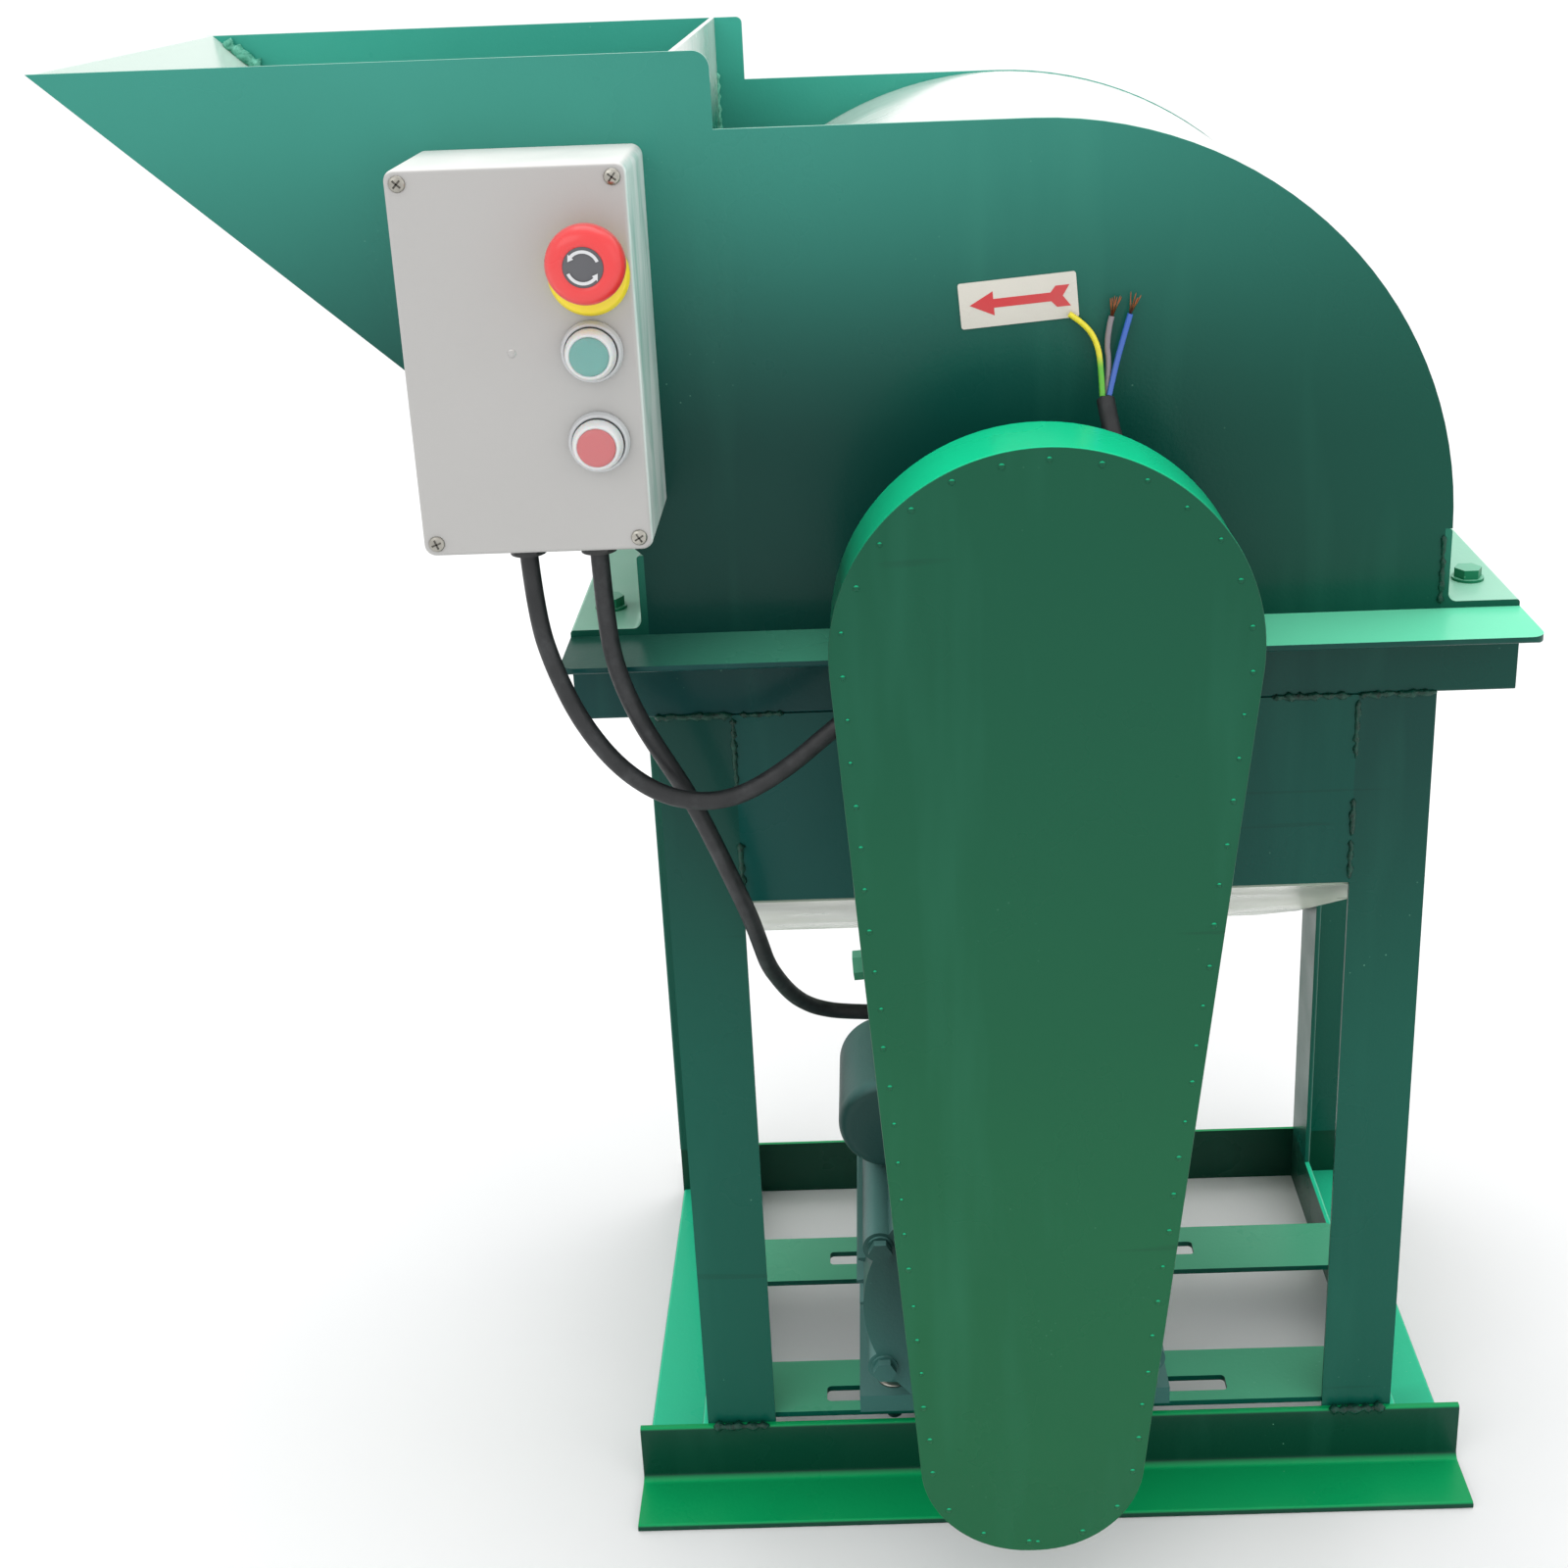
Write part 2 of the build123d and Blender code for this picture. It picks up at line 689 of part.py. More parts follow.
spacer_bore = pin_radius + running_clearance
with BuildPart() as hammer_pins:
    pin_front = disc_fronts[0] - pin_head
    pin_back = disc_fronts[-1] + disc_thickness + pin_head
    for row, (px, pz) in enumerate(pin_places):
        with BuildSketch(rotor_plane.offset(-pin_front)):
            with Locations((px, pz)):
                Circle(pin_radius)
        extrude(amount=-(pin_back - pin_front))
        for head_y in (pin_front, pin_back - pin_head):
            with BuildSketch(rotor_plane.offset(-head_y)):
                with Locations((px, pz)):
                    Circle(pin_head_radius)
            extrude(amount=-pin_head)
        for disc_y, hammer_y in zip(disc_fronts, hammer_fronts(row)):
            gaps = (
                (disc_y + disc_thickness, hammer_y - side_play),
                (hammer_y + hammer_thickness + side_play, disc_y + disc_step),
            )
            for gap_front, gap_back in gaps:
                with BuildSketch(rotor_plane.offset(-gap_front)):
                    with Locations((px, pz)):
                        Circle(spacer_bore + spacer_wall)
                        Circle(spacer_bore, mode=Mode.SUBTRACT)
                extrude(amount=-(gap_back - gap_front))
save(hammer_pins, "hammer_pins")

# Four rows of swinging hammers, hanging straight down from their pins
for row, (px, pz) in enumerate(pin_places):
    with BuildPart() as hammer_row:
        for hammer_y in hammer_fronts(row):
            with BuildSketch(rotor_plane.offset(-hammer_y)):
                with Locations((px, pz + (hammer_tail - hammer_reach) / 2)):
                    Rectangle(hammer_width, hammer_reach + hammer_tail)
                with Locations((px, pz)):
                    Circle(spacer_bore, mode=Mode.SUBTRACT)
            extrude(amount=-hammer_thickness)
    save(hammer_row, f"hammer_row_{row + 1}")

# ---------------------------------------------------------------- belt drive

motor_plane = Plane(origin=(motor_x, 0, motor_z), x_dir=(1, 0, 0), z_dir=(0, -1, 0))
belt_middles = (front - belt_plane - belt_pitch / 2, front - belt_plane + belt_pitch / 2)
groove_slope = tan(radians(groove_half_angle))


def v_pulley(plane, rim_radius, bore_radius, hub_radius):
    """Two-groove V-belt pulley about the plane's normal, with a turned recess."""
    groove_top = belt_width / 2 - belt_proud * groove_slope + belt_clearance
    groove_bottom = groove_top - groove_depth * groove_slope
    recess = 7.0
    rim_wall = 10.0
    web_outer = rim_radius - groove_depth - rim_wall
    with BuildPart() as pulley:
        with BuildSketch(plane.offset(-pulley_back)):
            Circle(rim_radius)
            Circle(bore_radius, mode=Mode.SUBTRACT)
        extrude(amount=pulley_width)
        if web_outer > hub_radius + rim_wall:
            for face_y, way in ((pulley_back, 1), (pulley_front, -1)):
                with BuildSketch(plane.offset(-face_y)):
                    Circle(web_outer)
                    Circle(hub_radius, mode=Mode.SUBTRACT)
                extrude(amount=way * recess, mode=Mode.SUBTRACT)
        for middle in belt_middles:
            axis_line = Axis(plane.origin, (0, 1, 0))
            section = Plane(origin=(plane.origin.X, middle, plane.origin.Z),
                            x_dir=(0, 1, 0), z_dir=(-1, 0, 0))
            with BuildSketch(section):
                with BuildLine():
                    Polyline(
                        (-groove_top - groove_slope, -(rim_radius + 1)),
                        (groove_top + groove_slope, -(rim_radius + 1)),
                        (groove_bottom, -(rim_radius - groove_depth)),
                        (-groove_bottom, -(rim_radius - groove_depth)),
                        close=True,
                    )
                make_face()
            revolve(axis=axis_line, mode=Mode.SUBTRACT)
    return pulley


rotor_pulley = v_pulley(rotor_plane, rotor_pulley_radius, shaft_radius, 32.0)
save(rotor_pulley, "rotor_pulley")
motor_pulley = v_pulley(motor_plane, motor_pulley_radius, motor_shaft_radius, 26.0)
save(motor_pulley, "motor_pulley")


def tangent_sides(high, high_radius, low, low_radius):
    """Ends and outward directions of the two lines that touch both circles."""
    along_x, along_z = high[0] - low[0], high[1] - low[1]
    distance = hypot(along_x, along_z)
    ux, uz = along_x / distance, along_z / distance
    lean = (high_radius - low_radius) / distance
    spread = (1 - lean * lean) ** 0.5
    sides = []
    for side in (-1, 1):
        nx = -lean * ux + side * spread * uz
        nz = -lean * uz - side * spread * ux
        sides.append((
            (high[0] + high_radius * nx, high[1] + high_radius * nz),
            (low[0] + low_radius * nx, low[1] + low_radius * nz),
            (nx, nz),
        ))
    return sides


def loop_outline(high, high_radius, low, low_radius):
    """Closed line round two circles in the current line builder, in XZ."""
    left, right = tangent_sides(high, high_radius, low, low_radius)
    Line(left[1], left[0])
    ThreePointArc(left[0], (high[0], high[1] + high_radius), right[0])
    Line(right[0], right[1])
    ThreePointArc(right[1], (low[0], low[1] - low_radius), left[1])


rotor_centre = (rotor_x, rotor_z)
motor_centre = (motor_x, motor_z)
belt_narrow = belt_width / 2 - belt_height * groove_slope
back_of_belt = (rotor_pulley_radius + belt_proud, motor_pulley_radius + belt_proud)
with BuildPart() as drive_belts:
    for middle in belt_middles:
        with BuildLine(Plane.XZ.offset(-middle)):
            loop_outline(rotor_centre, back_of_belt[0], motor_centre, back_of_belt[1])
        upper, lower, _ = tangent_sides(rotor_centre, back_of_belt[0],
                                        motor_centre, back_of_belt[1])[0]
        section = Plane(
            origin=(lower[0], middle, lower[1]),
            x_dir=(0, 1, 0),
            z_dir=(upper[0] - lower[0], 0, upper[1] - lower[1]),
        )
        with BuildSketch(section):
            with BuildLine():
                Polyline(
                    (-belt_width / 2, 0),
                    (belt_width / 2, 0),
                    (belt_narrow, -belt_height),
                    (-belt_narrow, -belt_height),
                    close=True,
                )
            make_face()
        sweep()
save(drive_belts, "drive_belts")

# ---------------------------------------------------------------- belt guard

guard_top = (rotor_x + guard_top_dx, rotor_z + guard_top_dz)
guard_corners = [
    (motor_x + guard_foot_dx + side * guard_foot_half, motor_z + guard_foot_dz)
    for side in (-1, 1)
]
guard_front = front - guard_reach
guard_back = guard_front + guard_depth


def guard_flank(side, inset):
    """Upper and lower end of one straight flank of the guard, with its outward way."""
    return tangent_sides(guard_top, guard_top_radius - inset,
                         guard_corners[side], guard_corner_radius - inset)[side]


def guard_outline(inset):
    """Outline of the guard in the current line builder, in XZ."""
    top_radius = guard_top_radius - inset
    corner_radius = guard_corner_radius - inset
    left_top, left_low, _ = guard_flank(0, inset)
    right_top, right_low, _ = guard_flank(1, inset)
    Line(left_low, left_top)
    ThreePointArc(left_top, (guard_top[0], guard_top[1] + top_radius), right_top)
    Line(right_top, right_low)
    bottoms = []
    for side, low in ((1, right_low), (0, left_low)):
        centre = guard_corners[side]
        way = -1 if side == 0 else 1
        bottom = (centre[0], centre[1] - corner_radius)
        halfway = (centre[0] + way * corner_radius * cos(pi / 4),
                   centre[1] - corner_radius * sin(pi / 4))
        ThreePointArc(low, halfway, bottom)
        bottoms.append(bottom)
    Line(*bottoms)


with BuildPart() as guard_cover:
    with BuildSketch(Plane.XZ.offset(-guard_front)):
        with BuildLine():
            guard_outline(0)
        make_face()
    extrude(amount=-guard_sheet)
save(guard_cover, "guard_cover")

with BuildPart() as guard_band:
    band_front = guard_front + guard_sheet
    for wall, cut in ((0, Mode.ADD), (guard_sheet, Mode.SUBTRACT)):
        with BuildSketch(Plane.XZ.offset(-band_front)):
            with BuildLine():
                guard_outline(wall)
            make_face()
        extrude(amount=-(guard_back - band_front), mode=cut)


def guard_side_point(level, side, inset):
    """Point on the guard's flank at a height, with the outward direction."""
    high, low, (nx, nz) = guard_flank(side, inset)
    share = (level - low[1]) / (high[1] - low[1])
    return low[0] + share * (high[0] - low[0]), nx, nz


# Flat brackets from the chute and the hood forward inside the guard's flanks
bracket_front = band_front + 12.0
with BuildPart() as guard_brackets:
    for level, gap, root_y in zip(bracket_levels, bracket_gaps, (leg_front_face, front)):
        for side in (0, 1):
            x, nx, nz = guard_side_point(level, side, guard_sheet + gap)
            plate = Plane(origin=(x, bracket_front, level), x_dir=(0, 1, 0), z_dir=(nx, 0, nz))
            reach = root_y - bracket_front
            with BuildSketch(plate):
                with Locations((reach / 2, 0)):
                    Rectangle(reach, bracket_height)
            extrude(amount=-bracket_wall)

# Hexagon bolts: two through each end angle's foot, two through each bearing housing
# and one through the guard's lower left bracket. The other brackets are welded.
guard_bolt_y = bracket_front + 14.0
bolt_level = bracket_levels[0] - 8.0
x, nx, nz = guard_side_point(bolt_level, 0, 0)
guard_seats = [
    Plane(origin=(x, guard_bolt_y, bolt_level), x_dir=(0, 1, 0), z_dir=(nx, 0, nz))
]
save(drilled(guard_band, guard_seats, casing_bolt_hole, casing_bolt[1]), "guard_band")
save(drilled(guard_brackets, guard_seats, casing_bolt_hole, casing_bolt[1]), "guard_brackets")
block_bolts = [hex_bolt(seat, 6.0, block_bolt_length, 10.4, 7.5) for seat in block_seats]
small_bolts = [hex_bolt(seat, *casing_bolt) for seat in end_seats + guard_seats]
with BuildPart() as stand_bolts:
    for bolt in block_bolts + small_bolts:
        add(bolt.part)
save(stand_bolts, "stand_bolts")

# ---------------------------------------------------------------- motor

body_front = front - 8.0
body_back = body_front + motor_body_length
foot_front = bolt_lines[0] - (motor_foot_length - motor_foot_spacing_y) / 2
shield_depth = 14.0
boss_radius = 42.0
boss_depth = 20.0
lug_radius = 11.0
lug_x = 85.0
lug_z = 46.0
bore_clearance = 0.3

with BuildPart() as motor_body:
    with BuildSketch(motor_plane.offset(-body_front)):
        Circle(motor_radius)
        for side_x in (-1, 1):
            for side_z in (-1, 1):
                with Locations((side_x * lug_x, side_z * lug_z)):
                    Circle(lug_radius)
    extrude(amount=-motor_body_length)
    with BuildSketch(motor_plane.offset(-body_front - 8)):
        Circle(motor_radius - 12)
    extrude(amount=-(motor_body_length - 16), mode=Mode.SUBTRACT)
    with BuildSketch(motor_plane.offset(-body_front)):
        Circle(motor_radius - 12)
    extrude(amount=-motor_body_length, mode=Mode.SUBTRACT)
    foot_top = motor_z - motor_height + motor_foot_thickness
    for side in (-1, 1):
        pad_middle = motor_x + side * (motor_foot_width - motor_foot_pad) / 2
        pad_plane = Plane((pad_middle, foot_front + motor_foot_length / 2, motor_z - motor_height))
        with BuildSketch(pad_plane):
            Rectangle(motor_foot_pad, motor_foot_length)
        extrude(amount=motor_foot_thickness)
        web_x = motor_x + side * (motor_radius - 14)
        with BuildSketch(Plane((web_x, foot_front + motor_foot_length / 2, foot_top))):
            Rectangle(12, motor_foot_length - 60)
        extrude(amount=34)
    for x in bolt_columns:
        for y in bolt_lines:
            with BuildSketch(Plane((x, y, motor_z - motor_height))):
                Circle(6)
            extrude(amount=motor_foot_thickness, mode=Mode.SUBTRACT)
            with BuildSketch(Plane((x, y, foot_top))):
                Circle(11.5)
            extrude(amount=30, mode=Mode.SUBTRACT)
save(motor_body, "motor_body")

with BuildPart() as motor_end_shields:
    for face_y, way in ((body_front, 1), (body_back, -1)):
        with BuildSketch(motor_plane.offset(-face_y)):
            Circle(motor_radius)
            for side_x in (-1, 1):
                for side_z in (-1, 1):
                    with Locations((side_x * lug_x, side_z * lug_z)):
                        Circle(lug_radius)
        extrude(amount=way * shield_depth)
        with BuildSketch(motor_plane.offset(-face_y)):
            Circle(boss_radius)
        extrude(amount=way * (shield_depth + boss_depth))
        with BuildSketch(motor_plane.offset(-face_y)):
            Circle(motor_shaft_radius + bore_clearance)
        extrude(amount=way * (shield_depth + boss_depth), mode=Mode.SUBTRACT)
shield_seats = [
    Plane(
        origin=(motor_x + side_x * lug_x, body_front - shield_depth,
                motor_z + side_z * lug_z),
        x_dir=(1, 0, 0),
        z_dir=(0, -1, 0),
    )
    for side_x in (-1, 1)
    for side_z in (-1, 1)
]
shield_bolt_radius = 3.0
shield_bolt_length = 10.0
save(drilled(motor_end_shields, shield_seats, shield_bolt_radius, shield_bolt_length),
     "motor_end_shields")

cover_front = body_back + shield_depth
cover_length = 76.0
cover_wall = 1.5
cover_radius = motor_radius - 1
with BuildPart() as motor_fan_cover:
    with BuildSketch(motor_plane.offset(-cover_front)):
        Circle(cover_radius)
    extrude(amount=-cover_length)
    fillet(motor_fan_cover.edges().filter_by(GeomType.CIRCLE).sort_by(Axis.Y)[-1], 16)
    with BuildSketch(motor_plane.offset(-cover_front)):
        Circle(cover_radius - cover_wall)
    extrude(amount=-(cover_length - 18), mode=Mode.SUBTRACT)
    with BuildSketch(motor_plane.offset(-(cover_front + cover_length - 18))):
        Circle(cover_radius - 18)
    extrude(amount=-(18 - cover_wall), mode=Mode.SUBTRACT)
    grille_rings = 5
    for ring in range(grille_rings):
        ring_radius = 18 + ring * 12
        with BuildSketch(motor_plane.offset(-(cover_front + cover_length))):
            Circle(ring_radius + 5)
            Circle(ring_radius, mode=Mode.SUBTRACT)
            with Locations((0, 0)):
                Rectangle(2 * cover_radius, 5, mode=Mode.SUBTRACT)
                Rectangle(5, 2 * cover_radius, mode=Mode.SUBTRACT)
        extrude(amount=cover_wall * 1.5, mode=Mode.SUBTRACT)
save(motor_fan_cover, "motor_fan_cover")

motor_shaft_back = cover_front + 40
with BuildPart() as motor_shaft:
    with BuildSketch(motor_plane.offset(-pulley_front)):
        Circle(motor_shaft_radius)
    extrude(amount=-(motor_shaft_back - pulley_front))
    rotor_core_radius = 50.0
    with BuildSketch(motor_plane.offset(-(body_front + 30))):
        Circle(rotor_core_radius)
    extrude(amount=-(motor_body_length - 60))
save(motor_shaft, "motor_shaft")

with BuildPart() as motor_fan:
    fan_front = cover_front + 22
    with BuildSketch(motor_plane.offset(-fan_front)):
        Circle(26)
        Circle(motor_shaft_radius, mode=Mode.SUBTRACT)
    extrude(amount=-16)
    for blade in range(8):
        turn = radians(blade * 45)
        blade_plane = Plane(
            origin=(motor_x + 52 * cos(turn), fan_front + 8, motor_z + 52 * sin(turn)),
            x_dir=(cos(turn), 0, sin(turn)),
            z_dir=(-sin(turn), 0, cos(turn)),
        )
        with BuildSketch(blade_plane):
            Rectangle(58, 16)
        extrude(amount=1.5, both=True)
save(motor_fan, "motor_fan")

# Two capacitor cans on the motor's shoulders
can_radius = 33.0
can_dx = 77.0
can_dz = 93.0
can_length = 88.0
seat_gap = 0.2               # cast seats to the motor's round body
can_front = front + 38.0
with BuildPart() as motor_capacitors:
    for side in (-1, 1):
        can_plane = motor_plane.offset(-can_front)
        with BuildSketch(can_plane):
            with Locations((side * can_dx, can_dz)):
                Circle(can_radius)
        extrude(amount=-can_length)
    fillet(motor_capacitors.edges().filter_by(GeomType.CIRCLE), 8)
    with BuildSketch(motor_plane.offset(-can_front)):
        Circle(motor_radius + seat_gap)
    extrude(amount=-can_length, mode=Mode.SUBTRACT)
save(motor_capacitors, "motor_capacitors")

# Terminal box on a neck above the body, with the motor lead's gland on its left side
terminal_box_size = (100.0, 90.0, 38.0)
terminal_box_dx = -12.0      # its middle from the motor shaft
terminal_box_front = front + 60.0
terminal_box_bottom = motor_z + 130.0
neck_width = 58.0
gland_above_box = 21.0       # gland, above the box's bottom
terminal_gland_z = terminal_box_bottom + gland_above_box
terminal_gland_y = terminal_box_front + 25.0
terminal_gland_length = 21.0
terminal_box_left = motor_x + terminal_box_dx - terminal_box_size[0] / 2
terminal_box_middle = terminal_box_front + terminal_box_size[1] / 2
with BuildPart() as motor_terminal_box:
    with BuildSketch(Plane((motor_x + terminal_box_dx, terminal_box_middle,
                            terminal_box_bottom))):
        RectangleRounded(terminal_box_size[0], terminal_box_size[1], 6)
    extrude(amount=terminal_box_size[2])
    fillet(motor_terminal_box.faces().sort_by(Axis.Z)[-1].edges(), 4)
    with BuildSketch(Plane((motor_x, terminal_box_middle, motor_z))):
        Rectangle(neck_width, neck_width)
    extrude(amount=terminal_box_bottom - motor_z)
    with BuildSketch(motor_plane.offset(-terminal_box_front)):
        Circle(motor_radius + seat_gap)
    extrude(amount=-terminal_box_size[1], mode=Mode.SUBTRACT)
    gland_seat = Plane(origin=(terminal_box_left, terminal_gland_y, terminal_gland_z),
                       x_dir=(0, 1, 0), z_dir=(-1, 0, 0))
    with BuildSketch(gland_seat):
        RegularPolygon(10, 6)
    extrude(amount=8)
    with BuildSketch(gland_seat):
        Circle(8.5)
    extrude(amount=terminal_gland_length)
save(motor_terminal_box, "motor_terminal_box")

foot_bolts = [
    hex_bolt(Plane((x, y, foot_top)), 5.0, 30.0, 9.2, 6.4)
    for x in bolt_columns
    for y in bolt_lines
]
shield_bolts = [
    hex_bolt(seat, shield_bolt_radius, shield_bolt_length, 7.5, 5.0) for seat in shield_seats
]
with BuildPart() as motor_bolts:
    for bolt in foot_bolts + shield_bolts:
        add(bolt.part)
save(motor_bolts, "motor_bolts")

# ---------------------------------------------------------------- control box

box_right = casing_left + box_from_casing
box_left = box_right - box_width
box_middle_x = (box_left + box_right) / 2
box_top = box_bottom + box_height
box_middle_z = (box_bottom + box_top) / 2
lid_front = front - box_depth
lid_back = lid_front + box_lid_depth
box_plane = Plane(origin=(box_middle_x, 0, box_middle_z), x_dir=(1, 0, 0), z_dir=(0, -1, 0))
button_x = box_right - button_x_inset
estop_x = box_right - estop_x_inset
button_places = {
    "estop": (estop_x, lid_front, box_bottom + estop_height),
    "start": (button_x, lid_front, box_bottom + start_height),
    "stop": (button_x, lid_front, box_bottom + stop_height),
}
gland_places = (box_right - gland_inset - gland_spacing, box_right - gland_inset)

with BuildPart() as control_box_base:
    with BuildSketch(box_plane.offset(-front)):
        RectangleRounded(box_width, box_height, box_corner_radius)
    extrude(amount=box_depth - box_lid_depth)
    with BuildSketch(box_plane.offset(-(front - box_wall))):
        RectangleRounded(box_width - 2 * box_wall, box_height - 2 * box_wall, 3)
    extrude(amount=box_depth - box_lid_depth - box_wall, mode=Mode.SUBTRACT)
save(control_box_base, "control_box_base")

with BuildPart() as control_box_lid:
    with BuildSketch(box_plane.offset(-lid_back)):
        RectangleRounded(box_width, box_height, box_corner_radius)
    extrude(amount=box_lid_depth)
    fillet(control_box_lid.faces().sort_by(Axis.Y)[0].edges(), 2.5)
    with BuildSketch(box_plane.offset(-lid_back)):
        RectangleRounded(box_width - 2 * box_wall, box_height - 2 * box_wall, 3)
    extrude(amount=box_lid_depth - box_wall, mode=Mode.SUBTRACT)
    for place in button_places.values():
        with BuildSketch(Plane(origin=place, z_dir=(0, -1, 0))):
            Circle(button_hole_radius)
        extrude(amount=-box_lid_depth, mode=Mode.SUBTRACT)
save(control_box_lid, "control_box_lid")

screw_radius = 4.0
with BuildPart() as control_box_screws:
    for x in (box_left + box_screw_inset, box_right - box_screw_inset):
        for z in (box_bottom + box_screw_inset, box_top - box_screw_inset):
            with BuildSketch(Plane(origin=(x, lid_front, z), z_dir=(0, -1, 0))):
                Circle(screw_radius)
            extrude(amount=0.8)
save(control_box_screws, "control_box_screws")

with BuildPart() as cable_glands:
    for x in gland_places:
        gland_plane = Plane(origin=(x, front - gland_y, box_bottom), z_dir=(0, 0, -1))
        with BuildSketch(gland_plane):
            RegularPolygon(12, 6)
        extrude(amount=6)
        with BuildSketch(gland_plane.offset(6)):
            Circle(10)
        extrude(amount=gland_length - 6, taper=12)
save(cable_glands, "cable_glands")

# Collars round the push buttons, and the wide one behind the emergency stop
estop_collar_radius = 20.5
estop_collar_depth = 8.0
estop_collar_shift = (-1.5, -8.5)    # the yellow collar hangs lower than its stem
button_collar_radius = 15.8
button_collar_depth = 6.0
button_radius = 13.2
estop_stem_radius = 9.5
collar_bore = {"estop": estop_stem_radius, "start": button_radius, "stop": button_radius}
with BuildPart() as button_collars:
    for kind, place in button_places.items():
        outer_radius = estop_collar_radius if kind == "estop" else button_collar_radius
        depth = estop_collar_depth if kind == "estop" else button_collar_depth
        shift = estop_collar_shift if kind == "estop" else (0, 0)
        with BuildSketch(Plane(origin=place, x_dir=(1, 0, 0), z_dir=(0, -1, 0))):
            with Locations(shift):
                Circle(outer_radius)
            Circle(collar_bore[kind] + button_clearance, mode=Mode.SUBTRACT)
        extrude(amount=depth)
save(button_collars, "button_collars")

estop_head_radius = 19.8
estop_head_depth = 16.0
estop_gap = button_travel + 3.0
turning_gap = 0.3            # head to its stem
estop_head_back = lid_front - estop_collar_depth - estop_gap
with BuildPart() as estop_stem:
    with BuildSketch(Plane(origin=button_places["estop"], z_dir=(0, -1, 0)).offset(-6)):
        Circle(estop_stem_radius)
    extrude(amount=lid_front + 6 - estop_head_back)
save(estop_stem, "estop_stem")

with BuildPart() as estop_head:
    with BuildSketch(Plane(origin=(estop_x, estop_head_back - turning_gap,
                                   box_bottom + estop_height), z_dir=(0, -1, 0))):
        Circle(estop_head_radius)
    extrude(amount=estop_head_depth)
    rims = estop_head.edges().filter_by(GeomType.CIRCLE).sort_by(Axis.Y)
    fillet(rims[0], 6)
    fillet(rims[-1], 2)
save(estop_head, "estop_head")

button_depth = 15.0
button_back = lid_front - 0.4
for kind in ("start", "stop"):
    with BuildPart() as push_button:
        button_plane = Plane(origin=button_places[kind], z_dir=(0, -1, 0))
        with BuildSketch(button_plane.offset(button_travel + lid_front - button_back)):
            Circle(button_radius)
        extrude(amount=button_depth - button_travel)
        front_rim = push_button.edges().filter_by(GeomType.CIRCLE).sort_by(Axis.Y)[0]
        fillet(front_rim, 3)
    save(push_button, f"{kind}_button")

# Contactor on the back of the box
contactor_size = (45.0, 58.0, 42.0)
with BuildPart() as contactor:
    contactor_plane = Plane(origin=(box_left + 40, front - box_wall, box_middle_z),
                            z_dir=(0, -1, 0))
    with BuildSketch(contactor_plane):
        Rectangle(contactor_size[0], contactor_size[1])
    extrude(amount=contactor_size[2])
save(contactor, "contactor")

# ---------------------------------------------------------------- cords

supply_route = [
    (gland_places[0], front - gland_y, box_bottom - gland_length),
    (-150, -171.5, 636),
    (-141, -181.5, 609),
    (-128, -186, 579),
    (-108, -188, 551),
    (-82, -188, 533),
    (-51, -186, 530),
    (-21, -182.5, 545),
    (7, -179.5, 568),
    (34, -178, 589),
    (65, -177.5, 598),
    (97, -177.5, 597),
    (129, -177.5, 597),
    (157, -177.5, 608),
    (174, -177, 629),
    (178, -175.5, 655),
    (175, -170, 680),
    (169, -158, 702),
    (164, -143, 719),
    (162, -129, 736),
]
motor_route = [
    (gland_places[1], front - gland_y, box_bottom - gland_length),
    (-113, -170.5, 636),
    (-109, -177, 608),
    (-99, -176.5, 578),
    (-87, -171, 551),
    (-75, -165.5, 525),
    (-64, -162.5, 496),
    (-54, -158, 466),
    (-46, -150, 438),
    (-42, -137.5, 413),
    (-39.5, -123, 391),
    (-34.3, -106.8, 370.5),
    (-29, -87.5, 350),
    (-22.1, -67.8, 331.1),
    (-12.1, -50.2, 315.4),
    (2.8, -37.2, 304.5),
    (terminal_box_left - terminal_gland_length, terminal_gland_y, terminal_gland_z),
]
core_routes = [
    [(160.2, -129.4, 738), (160, -124, 752), (158.5, -121.5, 765), (152, -121, 776),
     (143, -121, 782)],
    [(164, -128, 738), (168, -123, 753), (172, -121.4, 767), (176, -121, 781)],
    [(162.6, -125.6, 738), (165, -121.5, 753), (163, -120.5, 767), (166, -120.4, 780)],
]


def cord_tube(points, diameter, title):
    """Tube along straight runs joined by tangent arcs as large as the runs allow."""
    places = [Vector(*p) for p in points]
    runs = [b - a for a, b in zip(places, places[1:])]
    radii = []
    for before, after in zip(runs, runs[1:]):
        half_turn = radians(before.get_angle(after)) / 2
        radii.append(0.45 * min(before.length, after.length) / tan(half_turn))
    with BuildPart() as tube:
        with BuildLine() as route:
            FilletPolyline(*points, radius=radii)
        with BuildSketch(Plane(origin=places[0], z_dir=runs[0])):
            Circle(diameter / 2)
        sweep()
    length = sum(edge.length for edge in route.edges())
    expected = length * pi * diameter ** 2 / 4
    print(title, "length", round(length), "radii", [round(r) for r in radii])
    print("  volume", round(tube.part.volume), "of", round(expected))
    return tube


supply_lead = cord_tube(supply_route, cord_diameter, "supply_lead")
save(supply_lead, "supply_lead")
motor_lead = cord_tube(motor_route, cord_diameter, "motor_lead")
save(motor_lead, "motor_lead")

cores = [cord_tube(points, core_diameter, "core") for points in core_routes]
with BuildPart() as supply_lead_cores:
    for core in cores:
        add(core.part)
save(supply_lead_cores, "supply_lead_cores")
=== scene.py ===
"""Looks of the hammer mill: materials, cords, welds, buttons, light and camera."""

import math
import random

